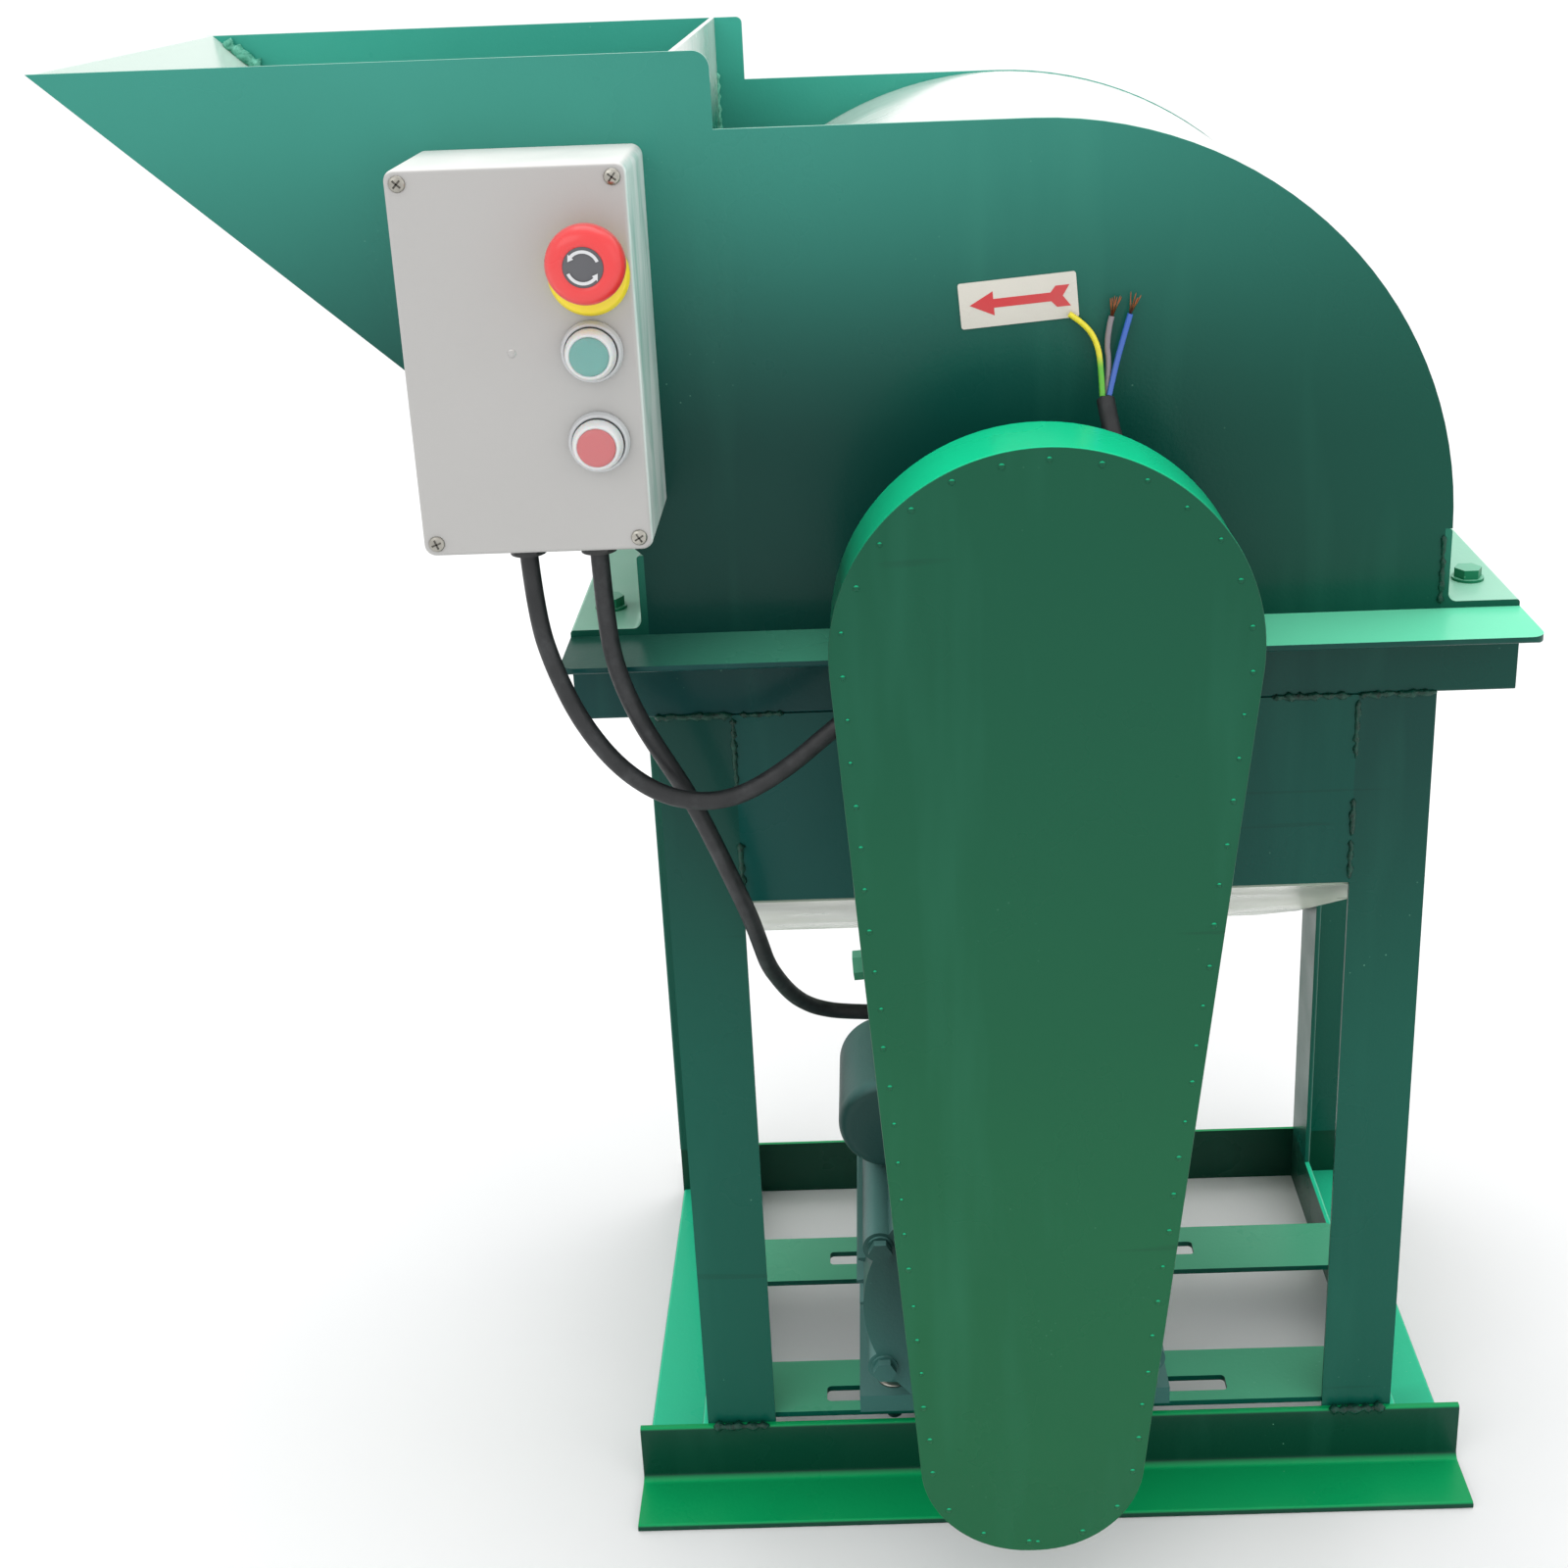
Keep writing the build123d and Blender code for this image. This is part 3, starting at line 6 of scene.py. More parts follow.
import bmesh
import bpy
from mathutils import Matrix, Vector


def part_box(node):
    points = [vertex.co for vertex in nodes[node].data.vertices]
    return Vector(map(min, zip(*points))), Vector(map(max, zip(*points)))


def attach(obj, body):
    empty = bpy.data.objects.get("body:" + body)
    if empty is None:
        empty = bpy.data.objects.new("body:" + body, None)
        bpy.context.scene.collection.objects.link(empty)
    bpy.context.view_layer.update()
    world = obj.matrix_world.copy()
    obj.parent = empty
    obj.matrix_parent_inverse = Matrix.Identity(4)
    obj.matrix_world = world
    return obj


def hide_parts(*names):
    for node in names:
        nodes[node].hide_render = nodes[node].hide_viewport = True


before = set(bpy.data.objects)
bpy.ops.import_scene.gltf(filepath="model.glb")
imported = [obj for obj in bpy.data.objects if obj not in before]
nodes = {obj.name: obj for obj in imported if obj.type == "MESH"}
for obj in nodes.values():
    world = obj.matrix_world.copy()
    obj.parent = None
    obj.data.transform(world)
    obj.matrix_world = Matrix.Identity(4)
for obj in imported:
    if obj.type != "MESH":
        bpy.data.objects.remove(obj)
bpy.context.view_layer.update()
MM = 0.001
FORWARD = (0, -1, 0)    # out of the machine's front
RIGHT = (1, 0, 0)
UP = (0, 0, 1)

# ---------------------------------------------------------------- places from the CAD

hood_lo, hood_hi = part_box("hood_side_front")
cover_lo, cover_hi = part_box("guard_cover")
box_lo, box_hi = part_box("control_box_lid")
arrow_lo, arrow_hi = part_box("arrow_plate")
estop_lo, estop_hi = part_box("estop_head")
start_lo, start_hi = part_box("start_button")
stop_lo, stop_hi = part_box("stop_button")
front_plate_lo, front_plate_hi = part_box("chute_front_plate")
leg_left_lo, leg_left_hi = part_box("leg_front_left")
leg_right_lo, leg_right_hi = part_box("leg_front_right")
rails_lo, rails_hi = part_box("top_long_rails")
cross_lo, cross_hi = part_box("hopper_cross_plate")
strips_lo, strips_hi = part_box("shaft_strips")
motor_lo, motor_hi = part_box("motor_body")
pulley_lo, pulley_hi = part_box("motor_pulley")
motor_x = (pulley_lo.x + pulley_hi.x) / 2
motor_z = (pulley_lo.z + pulley_hi.z) / 2
casing_y = hood_lo.y

# ---------------------------------------------------------------- camera

camera_data = bpy.data.cameras.new("camera")
camera_data.lens = 45.345
camera_data.sensor_width = 36.0
camera_data.shift_x = -0.0492
camera_data.shift_y = -0.1225
camera_data.clip_end = 50.0
camera = bpy.data.objects.new("camera", camera_data)
camera.location = (0.0378, -1.1756, 0.998)
camera.rotation_euler = (1.232468, 0.035294, -0.000527)
bpy.context.scene.collection.objects.link(camera)
bpy.context.scene.camera = camera

# ---------------------------------------------------------------- node helpers


class Nodes:
    """Short calls for building one material's node tree."""

    def __init__(self, name):
        self.material = bpy.data.materials.new(name)
        self.material.use_nodes = True
        self.tree = self.material.node_tree
        self.shader = self.tree.nodes["Principled BSDF"]
        self.place = self.tree.nodes.new("ShaderNodeTexCoord").outputs["Object"]

    def add(self, kind, inputs=(), **settings):
        node = self.tree.nodes.new(kind)
        for key, value in settings.items():
            setattr(node, key, value)
        for key, value in dict(inputs).items():
            if isinstance(value, bpy.types.NodeSocket):
                self.tree.links.new(value, node.inputs[key])
            else:
                node.inputs[key].default_value = value
        return node

    def noise(self, scale, detail=3.0, rough=0.5, stretch=None, distortion=0.0):
        place = self.place
        if stretch:
            place = self.add("ShaderNodeMapping", {"Vector": place, "Scale": stretch}).outputs[0]
        return self.add("ShaderNodeTexNoise", {
            "Vector": place, "Scale": scale, "Detail": detail, "Roughness": rough,
            "Distortion": distortion,
        }).outputs["Fac"]

    def ramp(self, value, low, high, first=0.0, last=1.0, smooth=False):
        """Value from low to high becomes first to last."""
        return self.add("ShaderNodeMapRange", {
            "Value": value, "From Min": low, "From Max": high, "To Min": first, "To Max": last,
        }, interpolation_type="SMOOTHSTEP" if smooth else "LINEAR").outputs[0]

    def math(self, operation, a, b=0.0):
        return self.add("ShaderNodeMath", {0: a, 1: b}, operation=operation).outputs[0]

    def mix(self, share, a, b):
        """Colour a where share is 0, b where it is 1."""
        node = self.add("ShaderNodeMix", data_type="RGBA")
        for index, value in ((0, share), (6, a), (7, b)):
            if isinstance(value, bpy.types.NodeSocket):
                self.tree.links.new(value, node.inputs[index])
            else:
                node.inputs[index].default_value = value
        return node.outputs[2]

    def along(self, axis):
        """The surface point's own coordinate on one axis, in metres."""
        return self.add("ShaderNodeSeparateXYZ", {0: self.place}).outputs[axis]

    def facing(self, axis):
        """How far the surface faces along one axis, from -1 to 1."""
        normal = self.add("ShaderNodeNewGeometry").outputs["Normal"]
        return self.add("ShaderNodeSeparateXYZ", {0: normal}).outputs[axis]

    def set(self, name, value):
        if isinstance(value, bpy.types.NodeSocket):
            self.tree.links.new(value, self.shader.inputs[name])
        else:
            self.shader.inputs[name].default_value = value

    def bump(self, height, strength, distance, after=None):
        inputs = {"Height": height, "Strength": strength, "Distance": distance}
        if after is not None:
            inputs["Normal"] = after
        return self.add("ShaderNodeBump", inputs).outputs[0]


def rgb(code):
    """Linear colour from a six-digit code."""
    out = []
    for start in (0, 2, 4):
        c = int(code[start:start + 2], 16) / 255
        out.append(c / 12.92 if c <= 0.04045 else ((c + 0.055) / 1.055) ** 2.4)
    return (*out, 1.0)


def paint(name, low, high, z_low=0.0, z_high=0.93, top=None, top_left_reflection=None, right=None,
          rough=0.3, coat=0.06, specular=0.16, orange_peel=0.25, specks=0.35, brush=0.0):
    """Gloss paint over steel: colour by place and facing, runs, specks, marks, orange peel.

    The sides go from low to high with height and towards right with X: painted light and shade.
    Faces that look up take top, painted top light, or at the left end a darker colour, a painted
    reflection of the dark hood.
    """
    m = Nodes(name)
    # Height gradient from low to high: painted light and shade.
    base = m.mix(m.ramp(m.along("Z"), z_low, z_high, smooth=True), rgb(low), rgb(high))
    # Tint towards right with X: painted light and shade across the part.
    if right:
        base = m.mix(m.ramp(m.along("X"), 0.0, 0.36, 0.0, 0.6), base, rgb(right))
    cloud = m.ramp(m.noise(5.0, 4.0, 0.55), 0.35, 0.7, 0.0, 0.3)
    base = m.mix(cloud, base, m.mix(0.3, base, rgb("0a3d2c")))
    runs = m.ramp(m.noise(24.0, 3.0, 0.6, stretch=(1.0, 1.0, 0.12)), 0.55, 0.8, 0.0, 0.16)
    base = m.mix(runs, base, m.mix(0.35, base, rgb("58b39a")))
    # Colour for faces that look up: painted top light. The darker colour at the left end is a
    # painted reflection of the dark hood.
    if top:
        painted_top_light = rgb(top)
        if top_left_reflection:
            painted_top_light = m.mix(m.ramp(m.along("X"), -0.1, 0.2), rgb(top_left_reflection), rgb(top))
        base = m.mix(m.ramp(m.facing("Z"), 0.35, 0.9, 0.0, 0.95), base, painted_top_light)
    speck = m.add("ShaderNodeTexVoronoi", {
        "Vector": m.place, "Scale": 150.0, "Randomness": 1.0,
    }).outputs["Distance"]
    spots = m.ramp(speck, 0.05, 0.09, 1.0, 0.0)
    patch = m.ramp(m.noise(9.0, 2.0), 0.58, 0.66)
    spots = m.math("MULTIPLY", m.math("MULTIPLY", spots, patch), specks)
    base = m.mix(spots, base, rgb("8fd6b6"))
    scratch = m.noise(60.0, 2.0, 0.4, stretch=(0.06, 0.06, 1.6), distortion=0.4)
    scratch = m.ramp(scratch, 0.735, 0.76, 0.0, 0.4)
    base = m.mix(scratch, base, m.mix(0.5, base, rgb("0a2b22")))
    m.set("Base Color", base)
    m.set("Roughness", m.ramp(m.noise(14.0, 4.0), 0.3, 0.75, rough - 0.07, rough + 0.12))
    m.shader.inputs["Specular IOR Level"].default_value = specular
    m.shader.inputs["Coat Weight"].default_value = coat
    m.shader.inputs["Coat Roughness"].default_value = 0.12
    peel = m.bump(m.noise(420.0, 2.0), orange_peel, 0.0004)
    wave = m.bump(m.noise(11.0, 2.0), 0.25, 0.003, peel)
    if brush:
        strokes = m.noise(120.0, 3.0, 0.6, stretch=(1.0, 1.0, 0.08))
        wave = m.bump(strokes, brush, 0.001, wave)
    m.set("Normal", wave)
    return m.material


def metal(name, color, rough=0.35, streak=(1.0, 1.0, 1.0), grime=0.3):
    """Bare or plated steel with fine turning marks and grime."""
    m = Nodes(name)
    tone = m.noise(90.0, 4.0, 0.6, stretch=streak)
    base = m.mix(m.ramp(tone, 0.3, 0.75, 0.0, 0.55), rgb(color), rgb("6e6c66"))
    dirt = m.ramp(m.noise(40.0, 4.0), 0.5, 0.72, 0.0, grime)
    base = m.mix(dirt, base, rgb("2b2620"))
    m.set("Base Color", base)
    m.shader.inputs["Metallic"].default_value = 1.0
    m.set("Roughness", m.ramp(tone, 0.3, 0.7, rough - 0.08, rough + 0.16))
    m.set("Normal", m.bump(m.noise(600.0, 2.0, stretch=streak), 0.2, 0.0002))
    return m.material


def plastic(name, color, rough=0.4, grain=900.0, grain_strength=0.25, coat=0.0, dirt=None,
            subsurface=0.0):
    """Moulded plastic with a fine grain, faint tone changes and dirt."""
    m = Nodes(name)
    base = m.mix(m.ramp(m.noise(16.0, 4.0), 0.35, 0.7, 0.0, 0.14), rgb(color), rgb("8d8b84"))
    if dirt:
        smear = m.ramp(m.noise(30.0, 4.0, 0.7, stretch=(1.0, 1.0, 0.25)), 0.55, 0.75, 0.0, 0.5)
        base = m.mix(smear, base, rgb(dirt))
    m.set("Base Color", base)
    m.set("Roughness", m.ramp(m.noise(35.0, 3.0), 0.3, 0.7, rough - 0.05, rough + 0.1))
    m.shader.inputs["Coat Weight"].default_value = coat
    m.shader.inputs["Subsurface Weight"].default_value = subsurface
    m.shader.inputs["Subsurface Scale"].default_value = 0.004
    m.set("Normal", m.bump(m.noise(grain, 2.0), grain_strength, 0.00025))
    return m.material


def box_plastic():
    """Warm grey enclosure plastic with green overspray scraped along its right side; its top and
    right side are painted paler as painted light.
    """
    m = Nodes("enclosure_plastic")
    base = m.mix(m.ramp(m.noise(12.0, 4.0), 0.35, 0.7, 0.0, 0.16), rgb("b1b0ae"), rgb("a8a7a4"))
    # Near-white top: painted light from above.
    base = m.mix(m.ramp(m.facing("Z"), 0.4, 0.95), base, rgb("f6f5f2"))
    side = m.ramp(m.facing("X"), 0.5, 0.9)
    # Paler right side: painted light on the faces that look right.
    base = m.mix(side, base, rgb("e2ebe8"))
    strokes = m.noise(70.0, 4.0, 0.65, stretch=(1.0, 0.6, 0.1), distortion=0.5)
    smear = m.math("MULTIPLY", side, m.ramp(strokes, 0.44, 0.66, 0.05, 0.7))
    base = m.mix(smear, base, rgb("74b3a4"))
    m.set("Base Color", base)
    m.set("Roughness", m.ramp(m.noise(40.0, 3.0), 0.3, 0.7, 0.38, 0.52))
    m.set("Normal", m.bump(m.noise(1100.0, 2.0), 0.22, 0.0002))
    return m.material


def weld_paint(name, shaded_hollows, lit_crests):
    """Painted weld bead: lumpy, darker in its hollows than on its crests, as painted shade."""
    m = Nodes(name)
    lumps = m.noise(260.0, 4.0, 0.65)
    # Darker hollows and lighter crests: painted shade and light on the lumps.
    base = m.mix(m.ramp(lumps, 0.3, 0.7), rgb(shaded_hollows), rgb(lit_crests))
    m.set("Base Color", base)
    m.set("Roughness", m.ramp(lumps, 0.3, 0.7, 0.22, 0.45))
    m.shader.inputs["Coat Weight"].default_value = 0.1
    m.shader.inputs["Specular IOR Level"].default_value = 0.3
    m.set("Normal", m.bump(lumps, 0.9, 0.0016))
    return m.material


def sheath():
    """Black rubber cable sheath with dust."""
    m = Nodes("cord_sheath")
    dust = m.ramp(m.noise(60.0, 5.0, 0.7), 0.5, 0.8, 0.0, 0.4)
    m.set("Base Color", m.mix(dust, rgb("1b1d1f"), rgb("4b4e50")))
    m.set("Roughness", m.ramp(m.noise(90.0, 3.0), 0.3, 0.7, 0.42, 0.62))
    m.set("Normal", m.bump(m.noise(800.0, 3.0), 0.35, 0.0003))
    return m.material


def striped_core():
    """Green and yellow earth core: green below, yellow towards its end."""
    m = Nodes("earth_core")
    share = m.ramp(m.along("Z"), 0.752, 0.762, smooth=True)
    base = m.mix(share, rgb("5fbf3a"), rgb("f2e23a"))
    base = m.mix(m.ramp(m.noise(300.0, 3.0), 0.45, 0.7, 0.0, 0.2), base, rgb("9a9a30"))
    m.set("Base Color", base)
    m.set("Roughness", m.ramp(m.noise(200.0), 0.3, 0.7, 0.28, 0.4))
    return m.material


# These paints hold painted light and shade: each rise from low to high, tint towards the right and
# top colour stands for how the lamps fall on that part.
green_hood = paint("hood_paint", "053f38", "3b9081", 0.70, 0.93, top="7cc4ae",
                   right="04513f")
green_inside = paint("hood_inside_paint", "1e5a4c", "40ab98", 0.7, 0.93, top="4fb39b")
# Near-white top: painted highlight along the wrap's top.
green_wrap = paint("wrap_paint", "27705d", "3f9880", 0.65, 0.89, top="f0f6f0", rough=0.22,
                   coat=0.6, specular=0.5)
# Pale high end and top: painted highlight inside the hopper.
green_hopper = paint("hopper_floor_paint", "2b6f5e", "bfdccf", 0.66, 0.9, top="d6e8de",
                     rough=0.22, coat=0.5)
# Near-white high end: painted highlight along the cross plate's top edge.
green_cross = paint("cross_plate_paint", "1f6b52", "e8efe9", 0.86, 0.9, rough=0.22, coat=0.6,
                    specular=0.5, brush=0.5)
green_angles = paint("end_angle_paint", "0f5041", "1f705c", 0.6, 0.65, top="a8e6cb")
# Darker high end: painted shade under the top rail.
green_stand = paint("stand_paint", "0a5647", "083f38", 0.3, 0.56, top="58b68f")
green_base = paint("base_paint", "08402f", "0a4431", 0.0, 0.1, top="0aa862", specks=0.7)
green_base_side = paint("base_side_paint", "1b4f3e", "1d5544", 0.0, 0.1, top="2fd8a6",
                        specks=0.7)
# Bright top: painted highlight. Darker top at the left end: painted reflection of the dark hood.
green_rail = paint("rail_paint", "043a39", "053f3d", 0.5, 0.62, top="7af5c6",
                   top_left_reflection="2c6557", right="064638", specks=0.5)
green_side_rail = paint("side_rail_paint", "043a39", "053f3d", 0.5, 0.62, top="a2ddc8",
                        specks=0.5)
green_chute = paint("chute_paint", "054e48", "044842", 0.42, 0.6, right="064b3c", brush=0.12)
cream_floor = paint("discharge_floor_paint", "e3e5d6", "d9dbcd", 0.2, 0.45, top="3f9a7a",
                    specks=0.1)
# Bright top: painted highlight on the guard's top faces.
green_guard = paint("guard_paint", "125f3a", "055239", 0.1, 0.7, top="12db9c",
                    orange_peel=0.15, specks=0.12, coat=0.1)
green_bolts = paint("bolt_paint", "0c5a40", "1b7a56", 0.0, 0.7, top="7fd0ae")
green_motor = paint("motor_paint", "3d706b", "264a46", 0.05, 0.2, top="5f8f8a", rough=0.42,
                    orange_peel=0.5, specks=0.1)
zinc = metal("zinc_plate", "b9b6ad", 0.3)
steel = metal("turned_steel", "9a9890", 0.32, streak=(1.0, 8.0, 1.0))
dark_steel = metal("mill_steel", "6d6b66", 0.42, grime=0.5)
cast = metal("cast_iron", "55534f", 0.5, grime=0.5)
copper = metal("copper_strands", "b3653a", 0.32, streak=(8.0, 8.0, 1.0), grime=0.2)
enclosure = box_plastic()
weld = weld_paint("painted_weld", "04261d", "115040")
# Same weld paint made lighter for the beads inside the hopper: painted light.
lit_weld = weld_paint("lit_weld", "1c8468", "7fd6bc")
sheath_black = sheath()
black_rubber = plastic("belt_rubber", "1a1a1a", 0.6)
black_plastic = plastic("black_plastic", "1d1d1e", 0.45)
gland_plastic = plastic("gland_plastic", "1f2122", 0.5)
red_plastic = plastic("estop_red", "e62a2e", 0.3, 500.0, 0.08, coat=0.4)
grey_disc = plastic("estop_centre", "54555a", 0.4)
light_marks = plastic("estop_marks", "d7d8da", 0.4)
yellow_plastic = plastic("estop_collar", "f3dc2c", 0.38, dirt="c9b53a")
start_cap = plastic("start_cap", "66a19a", 0.34, 500.0, 0.1, coat=0.3, subsurface=0.15)
stop_cap = plastic("stop_cap", "c4686b", 0.34, 500.0, 0.1, coat=0.3, subsurface=0.15)
boot = plastic("button_boot", "d9dcdc", 0.28, 300.0, 0.15, coat=0.6, subsurface=0.3)
ring_grey = plastic("button_ring", "c4c6c8", 0.3, coat=0.5)
arrow_white = plastic("arrow_white", "dcd5cc", 0.3, coat=0.4)
arrow_red = plastic("arrow_red", "d3262f", 0.35, coat=0.4)
blue_core = plastic("blue_core", "1f5fc4", 0.32, coat=0.3)
brown_core = plastic("brown_core", "8a7f86", 0.34, coat=0.3)
earth_core = striped_core()

assigned = {
    green_hood: ["hood_side_front", "shaft_strips"],
    green_inside: ["hood_side_rear"],
    green_hopper: ["hopper_floor"],
    green_angles: ["hood_end_angles"],
    green_wrap: ["hood_wrap"],
    green_cross: ["hopper_cross_plate"],
    green_stand: ["leg_front_left", "leg_front_right", "leg_rear_left", "leg_rear_right",
                  "motor_bars"],
    green_base: ["base_long_rails"],
    green_base_side: ["base_side_rails"],
    green_rail: ["top_long_rails", "bearing_housings"],
    green_side_rail: ["top_side_rails"],
    green_chute: ["chute_front_plate", "chute_rear_plate", "chute_sides"],
    cream_floor: ["discharge_floor"],
    green_guard: ["guard_cover", "guard_band", "guard_brackets"],
    green_bolts: ["stand_bolts"],
    green_motor: ["motor_body", "motor_end_shields", "motor_fan_cover", "motor_capacitors",
                  "motor_terminal_box", "motor_bolts"],
    steel: ["rotor_shaft", "motor_shaft", "hammer_pins", "bearing_outer_rings",
            "bearing_inner_rings"],
    dark_steel: ["screen", "rotor_discs", "hammer_row_1", "hammer_row_2", "hammer_row_3",
                 "hammer_row_4"],
    cast: ["rotor_pulley", "motor_pulley"],
    zinc: ["control_box_screws"],
    black_rubber: ["drive_belts"],
    black_plastic: ["motor_fan", "contactor"],
    enclosure: ["control_box_base", "control_box_lid"],
    gland_plastic: ["cable_glands"],
    yellow_plastic: ["button_collars"],
    red_plastic: ["estop_head", "estop_stem"],
    start_cap: ["start_button"],
    stop_cap: ["stop_button"],
    arrow_white: ["arrow_plate"],
    sheath_black: ["supply_lead", "motor_lead"],
    blue_core: ["supply_lead_cores"],
}
for material, names in assigned.items():
    for name in names:
        data = nodes[name].data
        data.materials.clear()
        data.materials.append(material)

# ---------------------------------------------------------------- cords


def route_curve(name, points_mm, radius, material):
    """Smooth cord whose control points are the route's points."""
    curve = bpy.data.curves.new(name, "CURVE")
    curve.dimensions = "3D"
    spline = curve.splines.new("NURBS")
    spline.points.add(len(points_mm) - 1)
    for point, place in zip(spline.points, points_mm):
        point.co = (*(c * MM for c in place), 1.0)
    spline.order_u = 3
    spline.use_endpoint_u = True
    curve.resolution_u = 14
    curve.bevel_depth = radius
    curve.bevel_resolution = 6
    curve.use_fill_caps = True
    curve.materials.append(material)
    obj = bpy.data.objects.new(name, curve)
    bpy.context.scene.collection.objects.link(obj)
    return obj


SUPPLY_ROUTE = [
    (-152, -166.5, 672),
    (-150, -171.5, 636),
    (-141, -181.5, 609),
    (-128, -186, 579),
    (-108, -188, 551),
    (-82, -188, 533),
    (-51, -186, 530),
    (-21, -182.5, 545),
    (7, -179.5, 568),
    (34, -178, 589),
    (65, -177.5, 598),
    (97, -177.5, 597),
    (129, -177.5, 597),
    (157, -177.5, 608),
    (174, -177, 629),
    (178, -175.5, 655),
    (175, -170, 680),
    (169, -158, 702),
    (164, -143, 719),
    (162, -129, 736),
]
MOTOR_ROUTE = [
    (-114, -166.5, 672),
    (-113, -170.5, 636),
    (-109, -177, 608),
    (-99, -176.5, 578),
    (-87, -171, 551),
    (-75, -165.5, 525),
    (-64, -162.5, 496),
    (-54, -158, 466),
    (-46, -150, 438),
    (-42, -137.5, 413),
    (-39.5, -123, 391),
    (-34.3, -106.8, 370.5),
    (-29, -87.5, 350),
    (-22.1, -67.8, 331.1),
    (-12.1, -50.2, 315.4),
    (2.8, -37.2, 304.5),
    (24, -31.5, 300),
]
CORE_ROUTES = {
    "core_earth": [(160.2, -129.4, 738), (160, -124, 752), (158.5, -121.5, 765),
                   (152, -121, 776), (143, -121, 782)],
    "core_blue": [(164, -128, 738), (168, -123, 753), (172, -121.4, 767), (176, -121, 781)],
    "core_brown": [(162.6, -125.6, 738), (165, -121.5, 753), (163, -120.5, 767),
                   (166, -120.4, 780)],
}
CORD_RADIUS = 0.005
CORE_RADIUS = 0.0016


def black_lead(name, route, stands_for):
    """Sheathed lead on the frame in place of its CAD tube."""
    lead = route_curve(name, route, CORD_RADIUS, sheath_black)
    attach(lead, "frame")
    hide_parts(stands_for)
    return lead


supply = black_lead("supply_cord", SUPPLY_ROUTE, "supply_lead")
motor_cord = black_lead("motor_cord", MOTOR_ROUTE, "motor_lead")
core_materials = {"core_earth": earth_core, "core_blue": blue_core, "core_brown": brown_core}
for name, points in CORE_ROUTES.items():
    core = route_curve(name, points, CORE_RADIUS, core_materials[name])
    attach(core, "frame")
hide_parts("supply_lead_cores")

# ---------------------------------------------------------------- mesh helpers


def piece(name, mesh_builder, material, body="frame", smooth=True):
    """New mesh object on a body."""
    mesh = bpy.data.meshes.new(name)
    bm = bmesh.new()
    mesh_builder(bm)
    bmesh.ops.recalc_face_normals(bm, faces=bm.faces)
    bm.to_mesh(mesh)
    bm.free()
    if smooth:
        mesh.shade_smooth()
    obj = bpy.data.objects.new(name, mesh)
    obj.data.materials.append(material)
    bpy.context.scene.collection.objects.link(obj)
    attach(obj, body)
    return obj


def band(bm, low, high):
    """Faces between two rings that have the same number of corners."""
    for a, corner in enumerate(low):
        b = (a + 1) % len(low)
        bm.faces.new((corner, low[b], high[b], high[a]))


def turned(bm, centre, axis, side, profile, segments=48):
    """Solid of revolution. The profile lists (radius, distance along the axis)."""
    axis = Vector(axis).normalized()
    side = Vector(side).normalized()
    other = axis.cross(side)
    rings = []
    for radius, along in profile:
        ring = []
        for step in range(segments):
            turn = 2 * math.pi * step / segments
            out = side * math.cos(turn) + other * math.sin(turn)
            ring.append(bm.verts.new(Vector(centre) + axis * along + out * radius))
        rings.append(ring)
    for low, high in zip(rings, rings[1:]):
        band(bm, low, high)
    bm.faces.new(rings[0])
    bm.faces.new(list(reversed(rings[-1])))


BEAD_SIDES = 8


def bead(bm, start, end, radius, seed, step=0.0022, wander=0.35):
    """Lumpy weld bead along a line."""
    rng = random.Random(seed)
    start, end = Vector(start), Vector(end)
    run = end - start
    count = max(3, int(run.length / step))
    axis = run.normalized()
    side = axis.orthogonal().normalized()
    other = axis.cross(side)
    rings = []
    for index in range(count + 1):
        share = index / count
        ripple = 1.0 + 0.3 * math.sin(index * 1.9) + rng.uniform(-wander, wander)
        size = radius * max(0.35, ripple)
        if index in (0, count):
            size = radius * 0.25
        centre = start + run * share
        centre += side * rng.uniform(-0.25, 0.25) * radius
        centre += other * rng.uniform(-0.25, 0.25) * radius
        ring = []
        for a in range(BEAD_SIDES):
            turn = 2 * math.pi * a / BEAD_SIDES
            out = side * math.cos(turn) + other * math.sin(turn)
            ring.append(bm.verts.new(centre + out * size))
        rings.append(ring)
    for low, high in zip(rings, rings[1:]):
        band(bm, low, high)
    bm.faces.new(rings[0])
    bm.faces.new(list(reversed(rings[-1])))


# ---------------------------------------------------------------- welds

PLATE_BEHIND_RAIL = 0.046       # chute front plate's face behind the top rail's front edge
BASE_RAIL_TOP = 0.0452
plate_y = rails_lo.y + PLATE_BEHIND_RAIL
leg_weld_y = plate_y - 0.0003
leg_top = leg_left_hi.z
plate_bottom = front_plate_lo.z
plate_left = front_plate_lo.x
plate_right = front_plate_hi.x


def across(left, right, y, z, radius):
    """Level bead: its two ends and its radius."""
    return (left, y, z), (right, y, z), radius


def upright(x, y, top, bottom, radius):
    """Vertical bead: its two ends and its radius."""
    return (x, y, top), (x, y, bottom), radius


